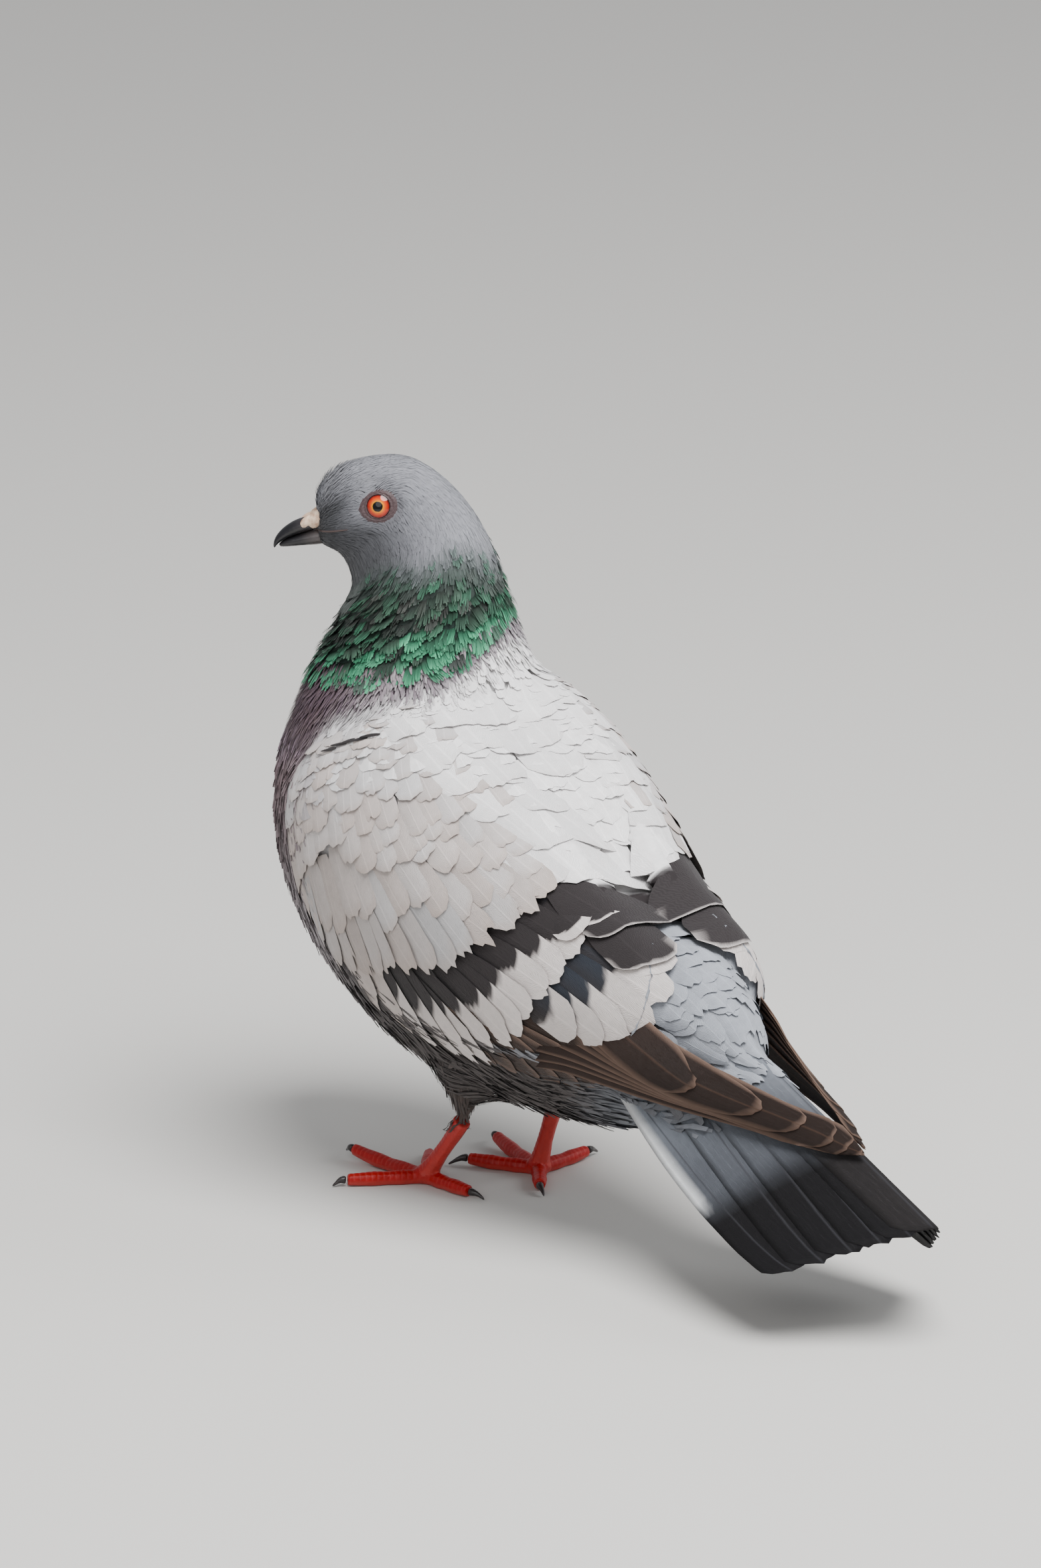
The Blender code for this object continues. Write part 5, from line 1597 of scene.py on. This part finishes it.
# %% Tail
TAIL_RIDGE = ((0.0, 92.0, 82.0), (0.0, 199.5, 36.0))
TAIL_EDGE = {"left": ((19, 76, 53), (33.5, 173, 24)), "right": ((-19, 76, 53), (-21.5, 174, 19))}


def tail_place(spread, along):
    """A place on the tail: spread is 0 on the ridge and 1 at an edge, along runs root to tip."""
    edge_root, edge_tip = (np.array(p, float) for p in TAIL_EDGE["left" if spread >= 0 else "right"])
    ridge_root, ridge_tip = (np.array(p) for p in TAIL_RIDGE)
    s = abs(spread)
    root, tip = ridge_root * (1 - s) + edge_root * s, ridge_tip * (1 - s) + edge_tip * s
    root[2] = ridge_root[2] + (edge_root[2] - ridge_root[2]) * s ** 1.5
    root[1] = ridge_root[1] + (edge_root[1] - ridge_root[1]) * s ** 1.3
    tip[1] = ridge_tip[1] + (edge_tip[1] - ridge_tip[1]) * s ** 1.2
    place = root * (1 - along) + tip * along
    bow = np.interp(along, (0, 0.1, 0.35, 0.6, 0.8, 0.92, 1.02), (0, 0, 0.42, 0.85, 1.0, 0.9, 0.45)) * s ** 2
    place += np.array((4.0 * np.sign(spread), 0.0, -2.8)) * bow
    place[2] -= 1.5 * 4 * along * (1 - along) * s
    return place


tail_grid = np.array([[tail_place(s, a) for s in np.linspace(-1.08, 1.08, 55)]
                      for a in np.linspace(0.0, 1.02, 61)])
tail_map = SurfaceMap(softened(spots(tail_grid), 2, False), (0.0, 1.02), (-1.08, 1.08), False,
                      np.array((0.0, 0.0, 1.0)))
SPREADS = (0.03, 0.2, 0.38, 0.56, 0.74, 0.91)


OUTERMOST = len(SPREADS) - 1


def tail_feather(sign, k):
    """The feather number k, counted outwards from the middle, on one side."""
    spread = sign * SPREADS[k]
    drop = 0.15 if sign < 0 and k == 0 else 0.0  # the right middle feather lies under the left one
    root, tip = (0.0, spread * (0.62 + 0.4 * (k / OUTERMOST) ** 3)), (1.0 - 0.004 * k, spread)
    tract = blades(tail_map, [root], [tip], 12.0 if k == OUTERMOST else 14.5,
                   [(-0.2 - 0.25 * k - drop, 0.1 - 0.28 * k - drop)], blade_grid,
                   base=0.5, end=0.95, camber=0.02)

    def colour(a, b):
        made = blend(TAIL_GREY, TAIL_DUSK, step(0.42 - 0.02 * k, a, 0.4) * 0.85)
        made = blend(made, TAIL_BAND, step(0.63, a, 0.14))
        made = blend(made, made * 1.5, step(0.985, a, 0.02) * 0.6)
        if k == OUTERMOST:
            made = blend(made, WEB_WHITE, step(0.5, b * sign, 0.12) * (1 - step(0.61, a, 0.06)))
        if k == 0:
            made = blend(made, TAIL_BROWN, np.full_like(a, 0.12))
        # Darker along both edges of each feather: painted shade where the feathers meet.
        edge_shade = 1.0 - 0.35 * step(0.86, np.abs(b), 0.12)
        return made * edge_shade[..., None]
    return painted(tract, colour)


tail = coat_object("tail_feathers", [tail_feather(sign, k) for sign in (1, -1) for k in range(len(SPREADS))],
                   tail_plumage, 0.28 * MM)
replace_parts(tail, "tail")

# %% [markdown]
# Lids, bill and the corners of the mouth are tubes whose cross-section changes along the way. A
# curve with a bevel would keep one section, so each is lofted: rings of corners are bridged one
# to the next, the ends are filled and the whole is rounded by subdivision.


# %% Lofted skins
def rounded(made, levels):
    """Rounds a mesh by subdivision."""
    rounding = made.modifiers.new("rounding", "SUBSURF")
    rounding.levels = rounding.render_levels = levels
    return applied(made)


def lofted(name, rings, finish, colour, smooth_levels=2, capped=True):
    """Bridges rings of places into one skin, closed at both ends unless it's open by nature."""
    bm = bmesh.new()
    loops = []
    for ring_places in rings:
        made = bmesh.ops.create_circle(bm, segments=len(ring_places), radius=1.0)["verts"]
        for corner, place in zip(made, ring_places):
            corner.co = place
        loops.append(list({edge for corner in made for edge in corner.link_edges}))
    for first, second in zip(loops, loops[1:]):
        bmesh.ops.bridge_loops(bm, edges=first + second)
    for loop in (loops[0], loops[-1]) if capped else ():
        bmesh.ops.edgeloop_fill(bm, edges=loop)
    bmesh.ops.recalc_face_normals(bm, faces=bm.faces)
    made = rounded(placed(name, mesh_of(bm, name)), smooth_levels)
    corners, _ = arrays_of(made.data)
    return finished(made, colour(corners), finish)

# %% [markdown]
# The eye is a glossy ball with an orange iris round a black pupil. A paint layer tells the
# shader how far each corner is from the eye's axis, and a colour ramp turns that into rings. Fine
# noise blurs their edges, as the fibres of a real iris do.
# %% The iris
iris, tree, shader = node_material("iris")
ring = new_node(tree, "Attribute")
ring.attribute_name = "ring"
streak = new_node(tree, "TexNoise", Scale=1400.0, Detail=3.0)
here = new_node(tree, "TexCoord")
tree.links.new(here.outputs["Object"], streak.inputs["Vector"])
blur = link_math(tree, "MULTIPLY_ADD", streak.outputs["Fac"], 0.05, ring.outputs["Fac"])
ramp = new_node(tree, "ValToRGB")
stops = [(0.0, (3, 3, 4)), (0.288, (4, 3, 3)), (0.312, (222, 146, 2)), (0.37, (216, 102, 0)),
         (0.46, (198, 58, 0)), (0.56, (160, 26, 0)), (0.61, (84, 8, 2)), (0.65, (22, 6, 6))]
while len(ramp.color_ramp.elements) < len(stops):
    ramp.color_ramp.elements.new(0.5)
for element, (place, shade) in zip(ramp.color_ramp.elements, stops):
    element.position = place
    element.color = (*tone(*shade), 1.0)
tree.links.new(blur, ramp.inputs["Fac"])
tree.links.new(ramp.outputs["Color"], shader.inputs["Base Color"])
for label, value in (("Roughness", 0.12), ("Specular IOR Level", 0.2), ("Coat Weight", 0.6),
                     ("Coat Roughness", 0.02)):
    shader.inputs[label].default_value = value

# %% [markdown]
# A wrinkled ring of bare skin makes the lids. Its inner rings lie on the ball, its outer ones are
# found by rays on the head's dish, so it closes the gap between eye and feathers.
# %% Eyeballs and lids
# The lids' rings from the ball outwards: radius, and how far each stands off the ball or skin, in mm
LID_RINGS = ((3.42, -0.3), (3.48, 0.05), (3.58, 0.24), (3.72, 0.24), (3.86, 0.05), (4.0, 0.2), (4.15, 0.16),
             (4.35, 0.02), (4.8, -0.25), (5.4, -0.6))
bare_skin = surface_finish("bare_skin", 0.6, 2600.0, 0.5, 0.00012, 0.3)
for side, axis in eye_axes.items():
    bm = bmesh.new()
    bmesh.ops.create_uvsphere(bm, u_segments=48, v_segments=56, radius=EYE_RADIUS * MM)
    facing = Vector(axis).to_track_quat("Z", "Y").to_matrix().to_4x4()
    bmesh.ops.transform(bm, matrix=Matrix.Translation(Vector(eye_middles[side])) @ facing, verts=bm.verts)
    mesh = mesh_of(bm, side + "_eyeball")
    mesh.shade_smooth()
    corners, _ = arrays_of(mesh)
    offset = (corners - np.array(eye_middles[side])) / MM
    along = offset @ np.array(axis)
    around = np.linalg.norm(offset - along[:, None] * np.array(axis), axis=1)
    around = np.where(along < 0, EYE_RADIUS, around)
    ring_share = mesh.attributes.new("ring", "FLOAT", "POINT")
    ring_share.data.foreach_set("value", (around / EYE_RADIUS).astype(np.float32))
    mesh.materials.append(iris)
    eyeball = placed(side + "_eyeball", mesh)
    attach(eyeball, "root")
    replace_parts(eyeball, side + "_eye")

    # The lids: rings from the ball's surface, over two folds, out to the skin
    turns = np.linspace(0.0, 2 * math.pi, 72, endpoint=False)
    forward, upward = eye_frame(axis)
    rings = []
    for radius, bump in LID_RINGS:
        wide = 1.0 + 0.18 * min(1.0, max(0.0, radius - 3.5) * 1.6)
        corner = 0.1 * np.maximum(np.cos(turns), 0) ** 6 * min(1.0, max(0.0, radius - 3.7) * 2.0)
        wrinkle = 0.05 * np.sin(turns * 17 + radius * 9) + 0.04 * np.sin(turns * 29 - radius * 5)
        on_ball = math.sqrt(max(EYE_RADIUS ** 2 - radius ** 2, 0.0))
        places = []
        for turn_here, point_out, fold in zip(turns, corner, wrinkle):
            level = eye_middles[side] + (forward * math.cos(turn_here) * (wide + point_out)
                                         + upward * math.sin(turn_here)) * radius * MM
            hit = lookup.ray_cast(Vector(level + axis * 12 * MM), Vector(-axis), 0.02)[3]
            on_skin = 12.0 - hit / MM if hit else on_ball
            out = max(on_ball, on_skin) if radius > 3.8 else on_ball
            out = on_skin if radius > 4.2 else out
            places.append(level + axis * (out + bump + fold * (bump > 0)) * MM)
        rings.append(places)
    lofted(side + "_lids", rings, bare_skin, lambda corners: blend(
        tone(58, 40, 42), tone(88, 72, 74), rng.uniform(0, 0.7, len(corners))), 1, capped=False)
print("eyes and lids made")

# %% [markdown]
# The bill is a slim horny case in two halves, the upper one hooked over the lower. Each half is
# lofted from oval rings along its length.


# %% Bill
# Each ring of the bill, in mm: how far ahead of the head's middle, its top, bottom and half width
UPPER_BILL = [(19.5, 3.6, 0.1, 3.4), (22.4, 3.9, 0.0, 3.4), (24.8, 4.2, -0.15, 3.1), (27.6, 4.1, -0.3, 2.6),
              (30.6, 3.2, -0.55, 2.15), (33.0, 2.0, -0.95, 1.7), (34.9, 0.4, -1.8, 1.15),
              (35.9, -1.5, -2.8, 0.55)]
LOWER_BILL = [(19.0, 0.3, -5.4, 3.3), (22.4, 0.3, -5.1, 3.3), (24.8, 0.1, -4.6, 2.95), (27.6, -0.1, -4.0, 2.4),
              (30.6, -0.4, -3.4, 1.85), (32.8, -0.9, -2.9, 1.25), (34.2, -1.5, -2.5, 0.6)]

horn = surface_finish("dark_horn", 0.3, 1100.0, 0.25, 0.00012, 0.3)
chalk = surface_finish("chalky_cere", 0.85, 2400.0, 0.6, 0.00018, 0.14, 0.3)
bill_run, bill_up, bill_left = cross_axes(HEAD_TURN, -BILL_DROP)


def bill_rings(profile, sides=12):
    """Oval rings of places along the bill."""
    rings = []
    for ahead, top, bottom, half_width in profile:
        middle, half_height = (top + bottom) / 2, (top - bottom) / 2
        rings.append([head_spot(ahead, middle + math.cos(turn) * half_height, math.sin(turn) * half_width)
                      for turn in 2 * math.pi * np.arange(sides) / sides])
    return rings


def horn_tone(base, tip, change, softness):
    """Horn that darkens towards the tip. The change is in mm from near the bill's root."""
    def colour(corners):
        ahead = (corners - np.array(head_spot(22, 0))) @ -np.array(bill_run) / MM
        return blend(base, tip, step(change, ahead, softness))
    return colour


upper = lofted("upper_bill_horn", bill_rings(UPPER_BILL), horn,
               horn_tone(tone(50, 46, 48), tone(20, 20, 24), 4.5, 8.0))
lower = lofted("lower_bill_horn", bill_rings(LOWER_BILL), horn,
               horn_tone(tone(76, 70, 70), tone(26, 25, 28), 3.0, 7.0))
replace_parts(upper, "upper_bill")
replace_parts(lower, "lower_bill")

# %% [markdown]
# The chalky cere sits on the bill's base as two lobes. Stretched balls that overlap are melted
# into one form by a voxel remesh, and gentle waves make it lumpy. A thin roll of bare skin runs
# back from the bill on each side, laid on the cheek by rays.
# %% Cere lobes and the corners of the mouth
bm = bmesh.new()
run, dorsal, left = cross_axes(HEAD_TURN, -BILL_DROP - 24.0)
axes = Matrix((-run, left, dorsal)).transposed().to_4x4()
for aside in (-1, 1):
    for ahead, above, size in ((20.5, 3.3, (4.4, 2.6, 2.3)), (24.3, 2.8, (2.8, 1.6, 1.6))):
        made = bmesh.ops.create_icosphere(bm, subdivisions=4, radius=1.0)["verts"]
        bmesh.ops.scale(bm, vec=Vector(size) * MM, verts=made)
        middle = Matrix.Translation(head_spot(ahead, above, aside * 1.6))
        bmesh.ops.transform(bm, matrix=middle @ axes, verts=made)
cere = remeshed(placed("cere_lobes", mesh_of(bm, "cere_lobes")), 0.26 * MM, 3)
corners, normals = arrays_of(cere.data)
waves = rng.normal(0, 1, (7, 3))
waves *= np.linspace(1500.0, 5200.0, 7)[:, None] / np.linalg.norm(waves, axis=1, keepdims=True)
lumps = np.sin(corners @ waves.T + rng.uniform(0, 6.28, 7)).sum(1) / 3.0
cere.data.vertices.foreach_set("co", (corners + normals * (lumps * 0.05 * MM)[:, None]).ravel())
# Paler on the lumps and browner in the hollows between them: painted shade.
cere_tone = blend(tone(226, 202, 178), tone(176, 132, 108), np.clip(0.25 - lumps * 0.35, 0, 1))
finished(cere, cere_tone, chalk)
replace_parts(cere, "cere")

for side, sign in SIDES:
    rings = []
    for ahead in np.linspace(23.0, 12.6, 12):
        level = head_spot(ahead, 0.1 - 0.05 * (23.0 - ahead), sign * 20.0)
        inward = -bill_left * sign
        hit = lookup.ray_cast(level, inward, 0.02)[0] or head_spot(ahead, 0.0, sign * 3.2)
        thick = 0.42 * math.sqrt(max(0.03, 1 - ((ahead - 17.8) / 5.4) ** 2))
        rings.append([hit + (bill_up * math.cos(turn) * 0.7 + bill_left * math.sin(turn)) * thick * MM
                      for turn in np.linspace(0, 2 * math.pi, 8, endpoint=False)])
    lofted(side + "_gape", rings, bare_skin,
           lambda corners: np.tile(tone(70, 56, 54), (len(corners), 1)))
print("cere made of", len(cere.data.polygons), "faces")

# %% [markdown]
# Claws are the frame's own curved cones, rounded by subdivision.

# %% Claws
for side, _ in SIDES:
    for toe in range(1, 5):
        node = f"{side}_claw_{toe}"
        claw = rounded(copy_of([node], node + "_horn"), 1)
        finished(claw, np.tile(tone(48, 42, 42), (len(claw.data.vertices), 1)), horn)
        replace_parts(claw, node)
